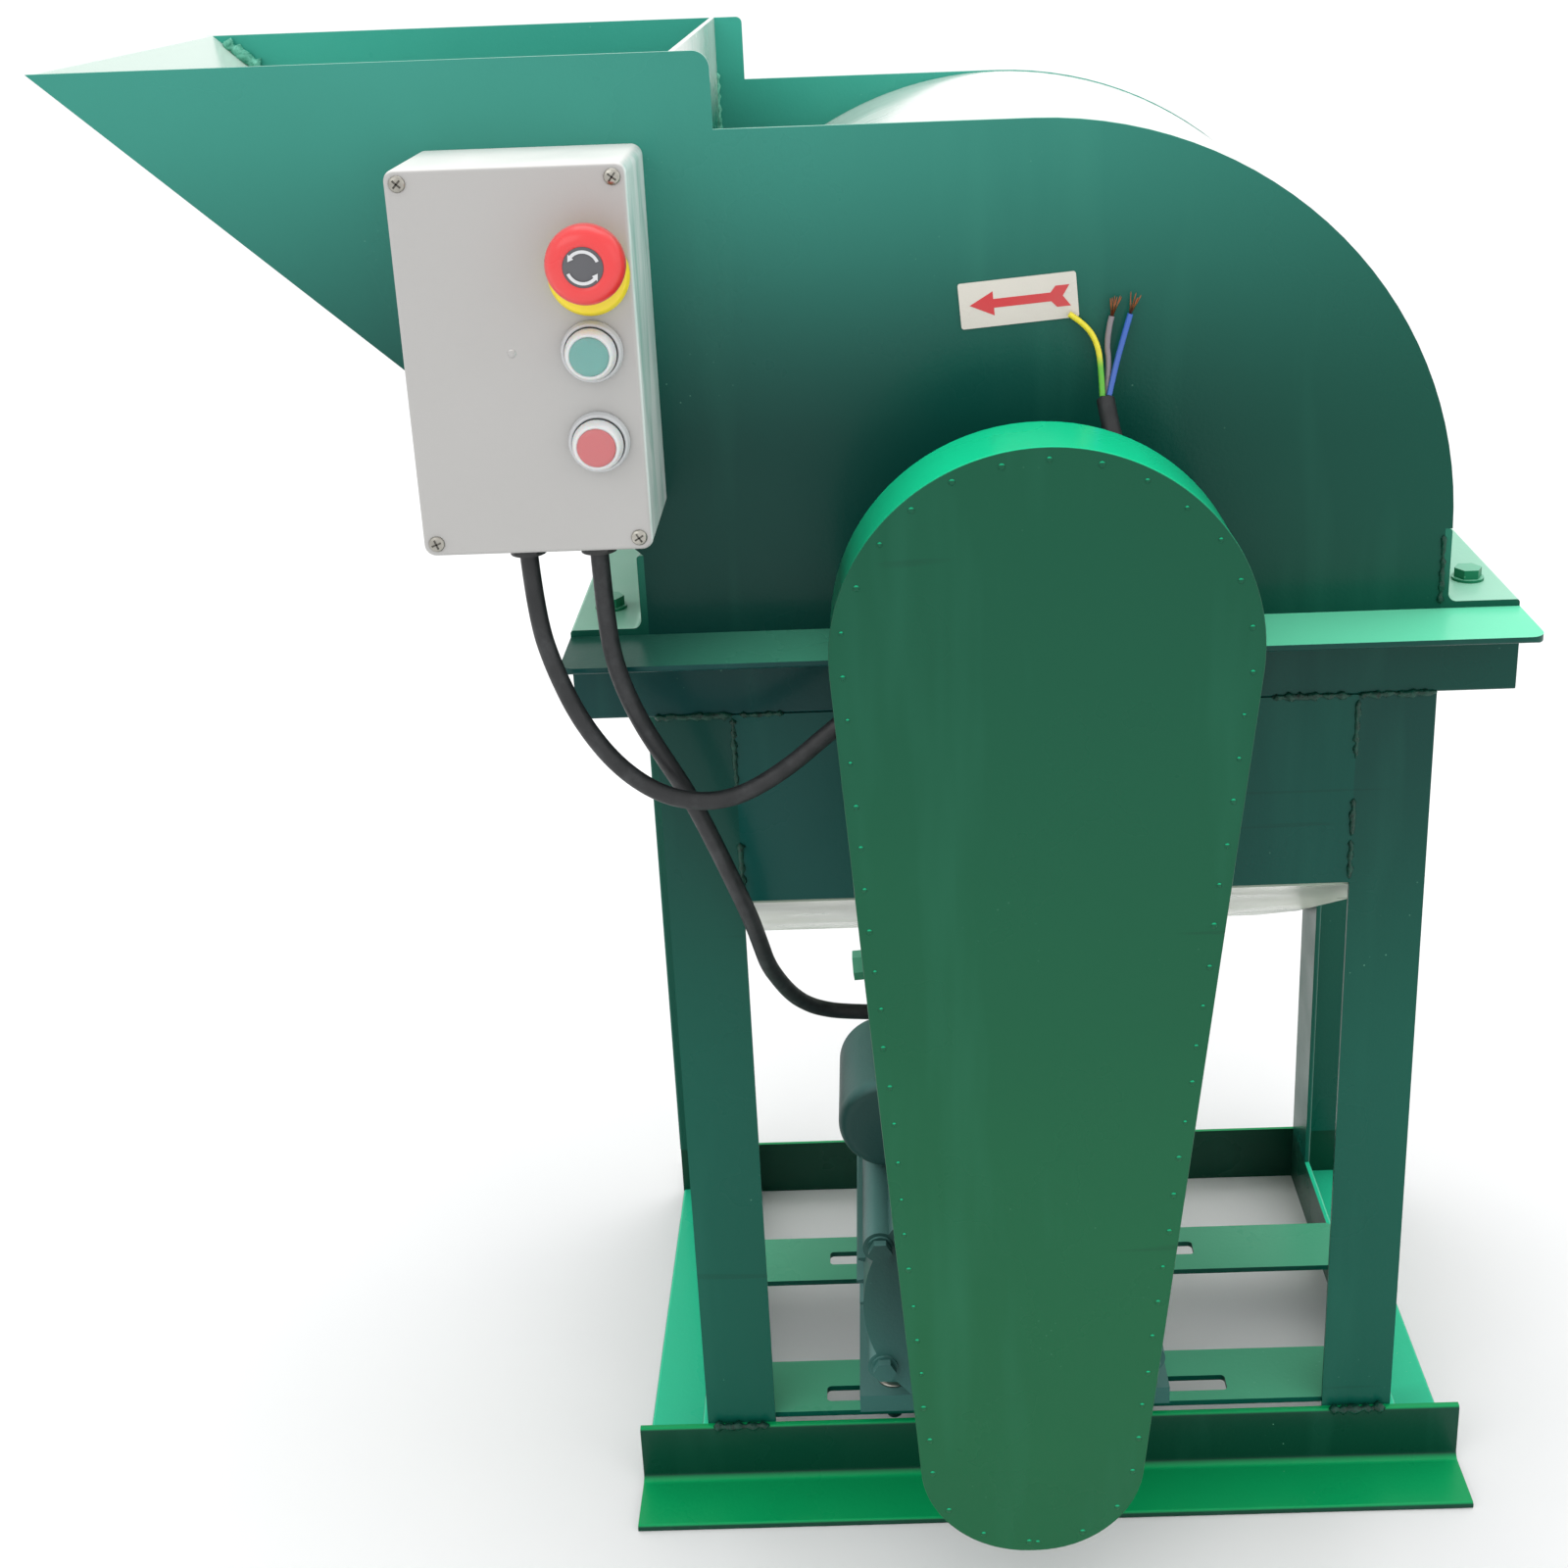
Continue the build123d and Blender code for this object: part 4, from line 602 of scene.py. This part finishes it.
weld_lines = [
    # legs to the top rail
    across(leg_left_lo.x, leg_left_hi.x, leg_weld_y, leg_top, 0.0021),
    across(leg_right_lo.x, leg_right_hi.x, leg_weld_y, leg_top, 0.0021),
    # chute front plate to the legs, stitch by stitch
    upright(plate_left, plate_y, leg_top - 0.002, leg_top - 0.055, 0.0015),
    upright(plate_left, plate_y, leg_top - 0.082, plate_bottom + 0.002, 0.0018),
    upright(plate_right, plate_y, leg_top - 0.003, leg_top - 0.04, 0.0015),
    upright(plate_right, plate_y, leg_top - 0.066, leg_top - 0.09, 0.0017),
    upright(plate_right, plate_y, plate_bottom + 0.028, plate_bottom + 0.002, 0.0016),
    # chute front plate to the rail
    across(plate_right - 0.05, plate_right - 0.004, plate_y, leg_top, 0.0021),
    across(plate_left + 0.004, plate_left + 0.03, plate_y, leg_top, 0.0016),
    # legs to the base rail
    across(leg_left_lo.x + 0.004, leg_left_hi.x - 0.004, leg_left_lo.y - 0.0035,
           BASE_RAIL_TOP, 0.0026),
    across(leg_right_lo.x + 0.004, leg_right_hi.x - 0.004, leg_right_lo.y - 0.0035,
           BASE_RAIL_TOP, 0.0026),
    # end angle to the lower strip
    upright(strips_hi.x - 0.0006, casing_y - 0.0002, 0.607, 0.648, 0.0014),
]
WELD_FIRST_SEED = 11


def welds(bm):
    """Every bead of the stand, each with its own seed."""
    for number, (start, end, radius) in enumerate(weld_lines):
        bead(bm, start, end, radius, number + WELD_FIRST_SEED)


piece("weld_beads", welds, weld)

floor_lo, floor_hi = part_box("hopper_floor")


def hopper_weld(bm):
    """Beads inside the hopper: floor to rear plate, cross plate to both side plates."""
    rise = hood_hi.z - 0.004
    bead(bm, (floor_lo.x + 0.012, floor_hi.y - 0.002, rise),
         (floor_lo.x + 0.052, floor_hi.y - 0.002, rise - 0.033), 0.004, 91)
    front_seam, rear_seam = floor_lo.y + 0.003, floor_hi.y - 0.003
    bead(bm, (cross_lo.x, front_seam, cross_hi.z - 0.022),
         (cross_lo.x, front_seam, cross_hi.z - 0.055), 0.0018, 92)
    bead(bm, (cross_hi.x, rear_seam, cross_hi.z - 0.035),
         (cross_hi.x, rear_seam, cross_hi.z - 0.075), 0.0018, 93)


piece("hopper_weld", hopper_weld, lit_weld)

# ---------------------------------------------------------------- guard details

guard_y = cover_lo.y
guard_half = (cover_hi.x - cover_lo.x) / 2
guard_top_x = cover_lo.x + guard_half
guard_top_radius = 0.111
guard_corner = 0.064
guard_top_z = cover_hi.z - guard_top_radius
guard_low_z = cover_lo.z + guard_corner
guard_foot_x = motor_x + 0.0023
guard_foot_half = 0.002


def flank(side, inset):
    """Ends of the guard's flank line, side -1 left and 1 right, drawn in by inset."""
    high = Vector((guard_top_x, guard_top_z))
    low = Vector((guard_foot_x + side * guard_foot_half, guard_low_z))
    high_r, low_r = guard_top_radius - inset, guard_corner - inset
    along = high - low
    distance = along.length
    u = along / distance
    lean = (high_r - low_r) / distance
    spread = math.sqrt(1 - lean * lean)
    n = Vector((-lean * u.x + side * spread * u.y, -lean * u.y - side * spread * u.x))
    return high + high_r * n, low + low_r * n, n


def guard_loop(inset, spacing):
    """Points along the guard's outline, drawn in by inset, at about even spacing."""
    left_top, left_low, left_n = flank(-1, inset)
    right_top, right_low, right_n = flank(1, inset)
    points = []

    def line(a, b):
        count = max(1, int((b - a).length / spacing))
        points.extend(a.lerp(b, i / count) for i in range(count))

    def arc(centre, radius, start, end):
        count = max(2, int(abs(end - start) * radius / spacing))
        for i in range(count):
            turn = start + (end - start) * i / count
            points.append(centre + radius * Vector((math.cos(turn), math.sin(turn))))

    top = Vector((guard_top_x, guard_top_z))
    line(left_low, left_top)
    arc(top, guard_top_radius - inset, math.atan2(left_n.y, left_n.x) % (2 * math.pi),
        math.atan2(right_n.y, right_n.x))
    line(right_top, right_low)
    right_corner = Vector((guard_foot_x + guard_foot_half, guard_low_z))
    left_corner = Vector((guard_foot_x - guard_foot_half, guard_low_z))
    arc(right_corner, guard_corner - inset, math.atan2(right_n.y, right_n.x), -math.pi / 2)
    line(right_corner + Vector((0, -(guard_corner - inset))),
         left_corner + Vector((0, -(guard_corner - inset))))
    arc(left_corner, guard_corner - inset, -math.pi / 2,
        math.atan2(left_n.y, left_n.x) - 2 * math.pi * (left_n.y > 0))
    return points


def tacks(bm):
    """Small spot-weld bumps round the guard's face."""
    rng = random.Random(5)
    for p in guard_loop(0.006, 0.024):
        offset = Vector((rng.uniform(-0.0008, 0.0008), rng.uniform(-0.0008, 0.0008)))
        size = rng.uniform(0.0012, 0.002)
        turned(bm, (p.x + offset.x, guard_y + 0.0002, p.y + offset.y), FORWARD, RIGHT,
               [(size, 0.0), (size * 0.85, 0.0005), (size * 0.45, 0.0009), (0.0001, 0.001)],
               12)


piece("guard_tacks", tacks, green_guard)


def guard_lip(bm):
    """Rounded bead of paint along the guard's front edge."""
    thick = 0.0011
    loop = guard_loop(0.0006, 0.004)
    rings = []
    for index, p in enumerate(loop):
        before = loop[index - 1]
        after = loop[(index + 1) % len(loop)]
        way = (after - before).normalized()
        out = Vector((-way.y, way.x))
        ring = []
        for a in range(BEAD_SIDES):
            turn = 2 * math.pi * a / BEAD_SIDES
            move = out * math.cos(turn) * thick
            y = guard_y + 0.0010 + thick * math.sin(turn)
            ring.append(bm.verts.new((p.x + move.x, y, p.y + move.y)))
        rings.append(ring)
    for low, high in zip(rings, rings[1:] + rings[:1]):
        band(bm, low, high)


piece("guard_lip", guard_lip, green_guard)

# ---------------------------------------------------------------- control box

SCREW_INSET = 0.007
box_front = box_lo.y
screw_places = [
    (x, z)
    for x in (box_lo.x + SCREW_INSET, box_hi.x - SCREW_INSET)
    for z in (box_lo.z + SCREW_INSET, box_hi.z - SCREW_INSET)
]


def screws(bm):
    """Pan heads of the lid's screws."""
    head_shape = [(0.0042, 0.0), (0.0042, 0.0006), (0.0036, 0.0013), (0.0018, 0.0017),
                  (0.0002, 0.0018)]
    for x, z in screw_places:
        turned(bm, (x, box_front, z), FORWARD, RIGHT, head_shape, 28)


def crosses(bm):
    """Two crossed dark bars on each screw head, each head turned its own way."""
    rng = random.Random(3)
    for x, z in screw_places:
        turn = rng.uniform(0, 1.5)
        for extra in (0, math.pi / 2):
            along = Vector((math.cos(turn + extra), 0, math.sin(turn + extra))) * 0.0026
            across = Vector((-math.sin(turn + extra), 0, math.cos(turn + extra))) * 0.00045
            middle = Vector((x, box_front - 0.0019, z))
            corners = [middle + along + across, middle - along + across,
                       middle - along - across, middle + along - across]
            back = [c + Vector((0, 0.0006, 0)) for c in corners]
            low = [bm.verts.new(c) for c in corners]
            high = [bm.verts.new(c) for c in back]
            bm.faces.new(low)
            bm.faces.new(list(reversed(high)))
            band(bm, low, high)


screw_heads = piece("box_screw_heads", screws, zinc)
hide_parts("control_box_screws")
piece("box_screw_crosses", crosses, dark_steel)

DIMPLE_INSET = 0.0555


def dimple(bm):
    """Small moulded dimple on the lid, level with the start button."""
    x = box_lo.x + DIMPLE_INSET
    z = start_lo.z + (start_hi.z - start_lo.z) / 2
    turned(bm, (x, box_front, z), FORWARD, RIGHT,
           [(0.0022, 0.0), (0.0021, 0.0003), (0.0012, 0.0007), (0.0002, 0.0008)], 20)


piece("lid_dimple", dimple, enclosure)


def middle_of(lo, hi):
    """Centre of a box as seen from the front."""
    return (lo.x + hi.x) / 2, (lo.z + hi.z) / 2


estop_x, estop_z = middle_of(estop_lo, estop_hi)
head_radius = (estop_hi.x - estop_lo.x) / 2
head_depth = estop_hi.y - estop_lo.y
head_profile = [
    (0.726, 0.0), (0.92, 0.03), (0.993, 0.15), (1.0, 0.4), (0.978, 0.66), (0.9, 0.835),
    (0.775, 0.942), (0.668, 0.987), (0.59, 1.0), (0.542, 0.972), (0.513, 0.942), (0.01, 0.942),
]
disc_face = 0.962
disc_profile = [(0.508, 0.932), (0.504, 0.952), (0.479, disc_face), (0.01, disc_face)]


def on_head(profile):
    """Profile in shares of the head's radius and depth, as metres."""
    return [(radius * head_radius, along * head_depth) for radius, along in profile]


def mushroom(bm):
    """Red head of the emergency stop, with a dished middle."""
    turned(bm, (estop_x, estop_hi.y, estop_z), FORWARD, RIGHT, on_head(head_profile), 72)


head = piece("estop_mushroom", mushroom, red_plastic, body="estop_knob")
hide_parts("estop_head")


def centre_disc(bm):
    """Grey disc in the middle of the head."""
    turned(bm, (estop_x, estop_hi.y, estop_z), FORWARD, RIGHT, on_head(disc_profile), 56)


piece("estop_centre_disc", centre_disc, grey_disc, body="estop_knob")


def twist_arcs(bm):
    """Two curved arrows that show the way to twist."""
    y = estop_hi.y - disc_face * head_depth - 0.0004
    sweep = math.radians(115)
    steps = 14

    def place(radius, turn):
        return bm.verts.new((estop_x + radius * head_radius * math.cos(turn), y,
                             estop_z + radius * head_radius * math.sin(turn)))

    for start in (math.radians(20), math.radians(200)):
        turns = [start + sweep * step / steps for step in range(steps + 1)]
        inner = [place(0.35, turn) for turn in turns]
        outer = [place(0.43, turn) for turn in turns]
        for a in range(steps):
            bm.faces.new((inner[a], inner[a + 1], outer[a + 1], outer[a]))
        tip = place(0.39, turns[-1] + math.radians(22))
        wings = [place(radius, turns[-1]) for radius in (0.3, 0.48)]
        bm.faces.new((wings[0], tip, wings[1]))
    bm.normal_update()
    bmesh.ops.solidify(bm, geom=bm.faces[:], thickness=0.0002)


piece("estop_twist_arcs", twist_arcs, light_marks, body="estop_knob", smooth=False)


def button(kind, lo, hi, cap_material, body):
    """Domed cap in a pale boot."""
    x, z = middle_of(lo, hi)
    radius = (hi.x - lo.x) / 2
    depth = hi.y - lo.y

    def boot_shape(bm):
        turned(bm, (x, hi.y, z), FORWARD, RIGHT,
               [(radius * 0.97, 0.0), (radius, depth * 0.35), (radius * 0.97, depth * 0.6),
                (radius * 0.88, depth * 0.82), (radius * 0.8, depth * 0.9),
                (radius * 0.76, depth * 0.86), (radius * 0.2, depth * 0.84),
                (0.0002, depth * 0.84)], 56)

    def cap_shape(bm):
        turned(bm, (x, hi.y, z), FORWARD, RIGHT,
               [(radius * 0.75, depth * 0.6), (radius * 0.75, depth * 0.92),
                (radius * 0.70, depth * 0.985), (radius * 0.5, depth), (0.0002, depth)], 56)

    boot_piece = piece(f"{kind}_boot", boot_shape, boot, body=body)
    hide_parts(f"{kind}_button")
    piece(f"{kind}_cap", cap_shape, cap_material, body=body)


button("start", start_lo, start_hi, start_cap, "start")
button("stop", stop_lo, stop_hi, stop_cap, "stop")


def ring_profile(bore, outer, depth):
    """Outline of a stepped ring, as (radius, distance from the lid)."""
    return [(bore, 0.0), (outer, 0.0), (outer, depth * 0.45), (outer * 0.965, depth * 0.55),
            (outer * 0.965, depth * 0.85), (outer * 0.92, depth), (bore, depth)]


def open_ring(bm, centre, profile, segments=64, shift=(0.0, 0.0)):
    """Turned ring whose profile closes on itself; shift moves its outside off its bore."""
    axis, side = Vector(FORWARD), Vector(RIGHT)
    other = axis.cross(side)
    bore = min(radius for radius, along in profile)
    outer = max(radius for radius, along in profile)
    rings = []
    for radius, along in profile:
        share = (radius - bore) / (outer - bore)
        middle = Vector(centre) + Vector((shift[0], 0.0, shift[1])) * share
        rings.append([
            bm.verts.new(middle + axis * along
                         + (side * math.cos(2 * math.pi * s / segments)
                            + other * math.sin(2 * math.pi * s / segments)) * radius)
            for s in range(segments)
        ])
    for low, high in zip(rings, rings[1:] + rings[:1]):
        band(bm, low, high)


COLLAR_SHIFT = (-0.0015, -0.0085)


def estop_collar(bm):
    """Yellow collar whose outside hangs lower and a little left of its bore."""
    open_ring(bm, (estop_x, box_front, estop_z), ring_profile(0.0099, 0.0205, 0.008),
              shift=COLLAR_SHIFT)


def button_rings(bm):
    """Grey rings round the start and stop buttons."""
    for lo, hi in ((start_lo, start_hi), (stop_lo, stop_hi)):
        x, z = middle_of(lo, hi)
        open_ring(bm, (x, box_front, z), ring_profile(0.0136, 0.0158, 0.006))


collar = piece("estop_yellow_collar", estop_collar, yellow_plastic)
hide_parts("button_collars")
piece("button_grey_rings", button_rings, ring_grey)

# ---------------------------------------------------------------- arrow plate

arrow_x = (arrow_lo.x + arrow_hi.x) / 2
arrow_z = (arrow_lo.z + arrow_hi.z) / 2
tilt = math.radians(4.5)
outline = [(-0.0265, 0.0), (-0.0135, 0.0066), (-0.0135, 0.0024), (0.0175, 0.0024),
           (0.0205, 0.0058), (0.0280, 0.0058), (0.0240, 0.0), (0.0280, -0.0058),
           (0.0205, -0.0058), (0.0175, -0.0024), (-0.0135, -0.0024), (-0.0135, -0.0066)]


def arrow(bm):
    """Thin arrow, tilted as it is painted on the plate."""
    front_verts = []
    for x, z in outline:
        turned_x = x * math.cos(tilt) - z * math.sin(tilt)
        turned_z = x * math.sin(tilt) + z * math.cos(tilt)
        front_verts.append(bm.verts.new((arrow_x + turned_x, arrow_lo.y - 0.00015,
                                         arrow_z + turned_z)))
    face = bm.faces.new(front_verts)
    grown = bmesh.ops.extrude_face_region(bm, geom=[face])
    for v in grown["geom"]:
        if isinstance(v, bmesh.types.BMVert):
            v.co.y += 0.0002
    bmesh.ops.triangulate(bm, faces=bm.faces[:])


piece("arrow_mark", arrow, arrow_red, smooth=False)

# ---------------------------------------------------------------- copper ends


def strands(bm):
    """Fanned bare strands at the ends of two cores."""
    rng = random.Random(17)
    for name in ("core_blue", "core_brown"):
        points = CORE_ROUTES[name]
        end = Vector(points[-1]) * MM
        way = (Vector(points[-1]) - Vector(points[-2])).normalized()
        for _ in range(7):
            spread = Vector((rng.uniform(-0.3, 0.3), rng.uniform(-0.08, 0.02),
                             rng.uniform(-0.1, 0.1)))
            tip = end + (way + spread).normalized() * rng.uniform(0.009, 0.013)
            start = end + Vector((rng.uniform(-1, 1), 0, rng.uniform(-1, 1))) * 0.0006
            axis = (tip - start).normalized()
            turned(bm, start - axis * 0.001, axis, axis.orthogonal(),
                   [(0.00032, 0.0), (0.00032, (tip - start).length * 0.9),
                    (0.0001, (tip - start).length)], 6)


copper_ends = piece("core_copper_ends", strands, copper)

# ---------------------------------------------------------------- motor details

FOOT_BOLT_HALF_SPAN = 0.080
FOOT_BOLT_SPACING = 0.140
FOOT_THICKNESS = 0.0131
foot_y = casing_y + 0.016


def washers(bm):
    """Washers of the four foot bolts."""
    for x in (motor_x - FOOT_BOLT_HALF_SPAN, motor_x + FOOT_BOLT_HALF_SPAN):
        for y in (foot_y, foot_y + FOOT_BOLT_SPACING):
            turned(bm, (x, y, motor_lo.z + FOOT_THICKNESS), UP, RIGHT,
                   [(0.0112, 0.0), (0.0112, 0.0012), (0.0104, 0.0018), (0.0002, 0.0018)], 40)


piece("foot_washers", washers, zinc)


def fins(bm):
    """Cooling fins along the motor's body."""
    end_gap = 0.012
    y0, y1 = motor_lo.y + end_gap, motor_hi.y - end_gap
    root, tip = (0.0965, 0.0017), (0.1015, 0.0009)    # radius, half thickness
    for degrees in list(range(-50, 51, 10)) + list(range(130, 231, 10)):
        turn = math.radians(degrees)
        out = Vector((math.cos(turn), 0, math.sin(turn)))
        across = Vector((-math.sin(turn), 0, math.cos(turn)))
        corners = []
        for radius, half in (root, tip):
            for side in (-1, 1):
                corners.append(Vector((motor_x, 0, motor_z)) + out * radius + across * half * side)
        order = [corners[0], corners[2], corners[3], corners[1]]
        first = [bm.verts.new((c.x, y0, c.z)) for c in order]
        second = [bm.verts.new((c.x, y1, c.z)) for c in order]
        bm.faces.new(first)
        bm.faces.new(list(reversed(second)))
        band(bm, first, second)


piece("motor_fins", fins, green_motor, smooth=False)

# ---------------------------------------------------------------- shading of CAD pieces

for name, obj in nodes.items():
    if not obj.hide_render:
        obj.data.shade_smooth()
        modifier = obj.modifiers.new("edges", "EDGE_SPLIT")
        modifier.split_angle = math.radians(30)

# ---------------------------------------------------------------- floor and light

FLOOR_HALF = 30
floor_corners = [(-FLOOR_HALF, -FLOOR_HALF, 0), (FLOOR_HALF, -FLOOR_HALF, 0),
                 (FLOOR_HALF, FLOOR_HALF, 0), (-FLOOR_HALF, FLOOR_HALF, 0)]
floor_mesh = bpy.data.meshes.new("floor")
floor_mesh.from_pydata(floor_corners, [], [(0, 1, 2, 3)])
floor = bpy.data.objects.new("floor", floor_mesh)
floor_nodes = Nodes("floor_paint")
floor_nodes.set("Base Color", floor_nodes.mix(
    floor_nodes.ramp(floor_nodes.noise(3.0, 3.0), 0.3, 0.7, 0.0, 1.0), rgb("fbfbfb"),
    rgb("f8f8f9")))
floor_nodes.shader.inputs["Roughness"].default_value = 0.9
floor.data.materials.append(floor_nodes.material)
floor.location.z = -0.0005
bpy.context.scene.collection.objects.link(floor)

world = bpy.data.worlds.new("studio")
bpy.context.scene.world = world
world.use_nodes = True
world.node_tree.nodes["Background"].inputs["Color"].default_value = (1, 1, 1, 1)
world.node_tree.nodes["Background"].inputs["Strength"].default_value = 1.1


def area_light(name, place, aim, size, power):
    """Soft rectangular light at place, turned towards aim."""
    data = bpy.data.lights.new(name, "AREA")
    data.shape = "RECTANGLE"
    data.size, data.size_y = size
    data.energy = power
    light = bpy.data.objects.new(name, data)
    light.location = place
    light.rotation_euler = (Vector(aim) - Vector(place)).to_track_quat("-Z", "Y").to_euler()
    bpy.context.scene.collection.objects.link(light)


area_light("key", (-1.6, -2.2, 2.6), (0, 0, 0.5), (2.2, 1.6), 9)
area_light("fill", (2.4, -1.6, 1.6), (0, 0, 0.5), (2.0, 2.0), 4)
area_light("top", (0.2, 0.6, 3.2), (0.1, 0, 0.8), (2.5, 2.0), 16)

bpy.context.scene.view_settings.view_transform = "Standard"
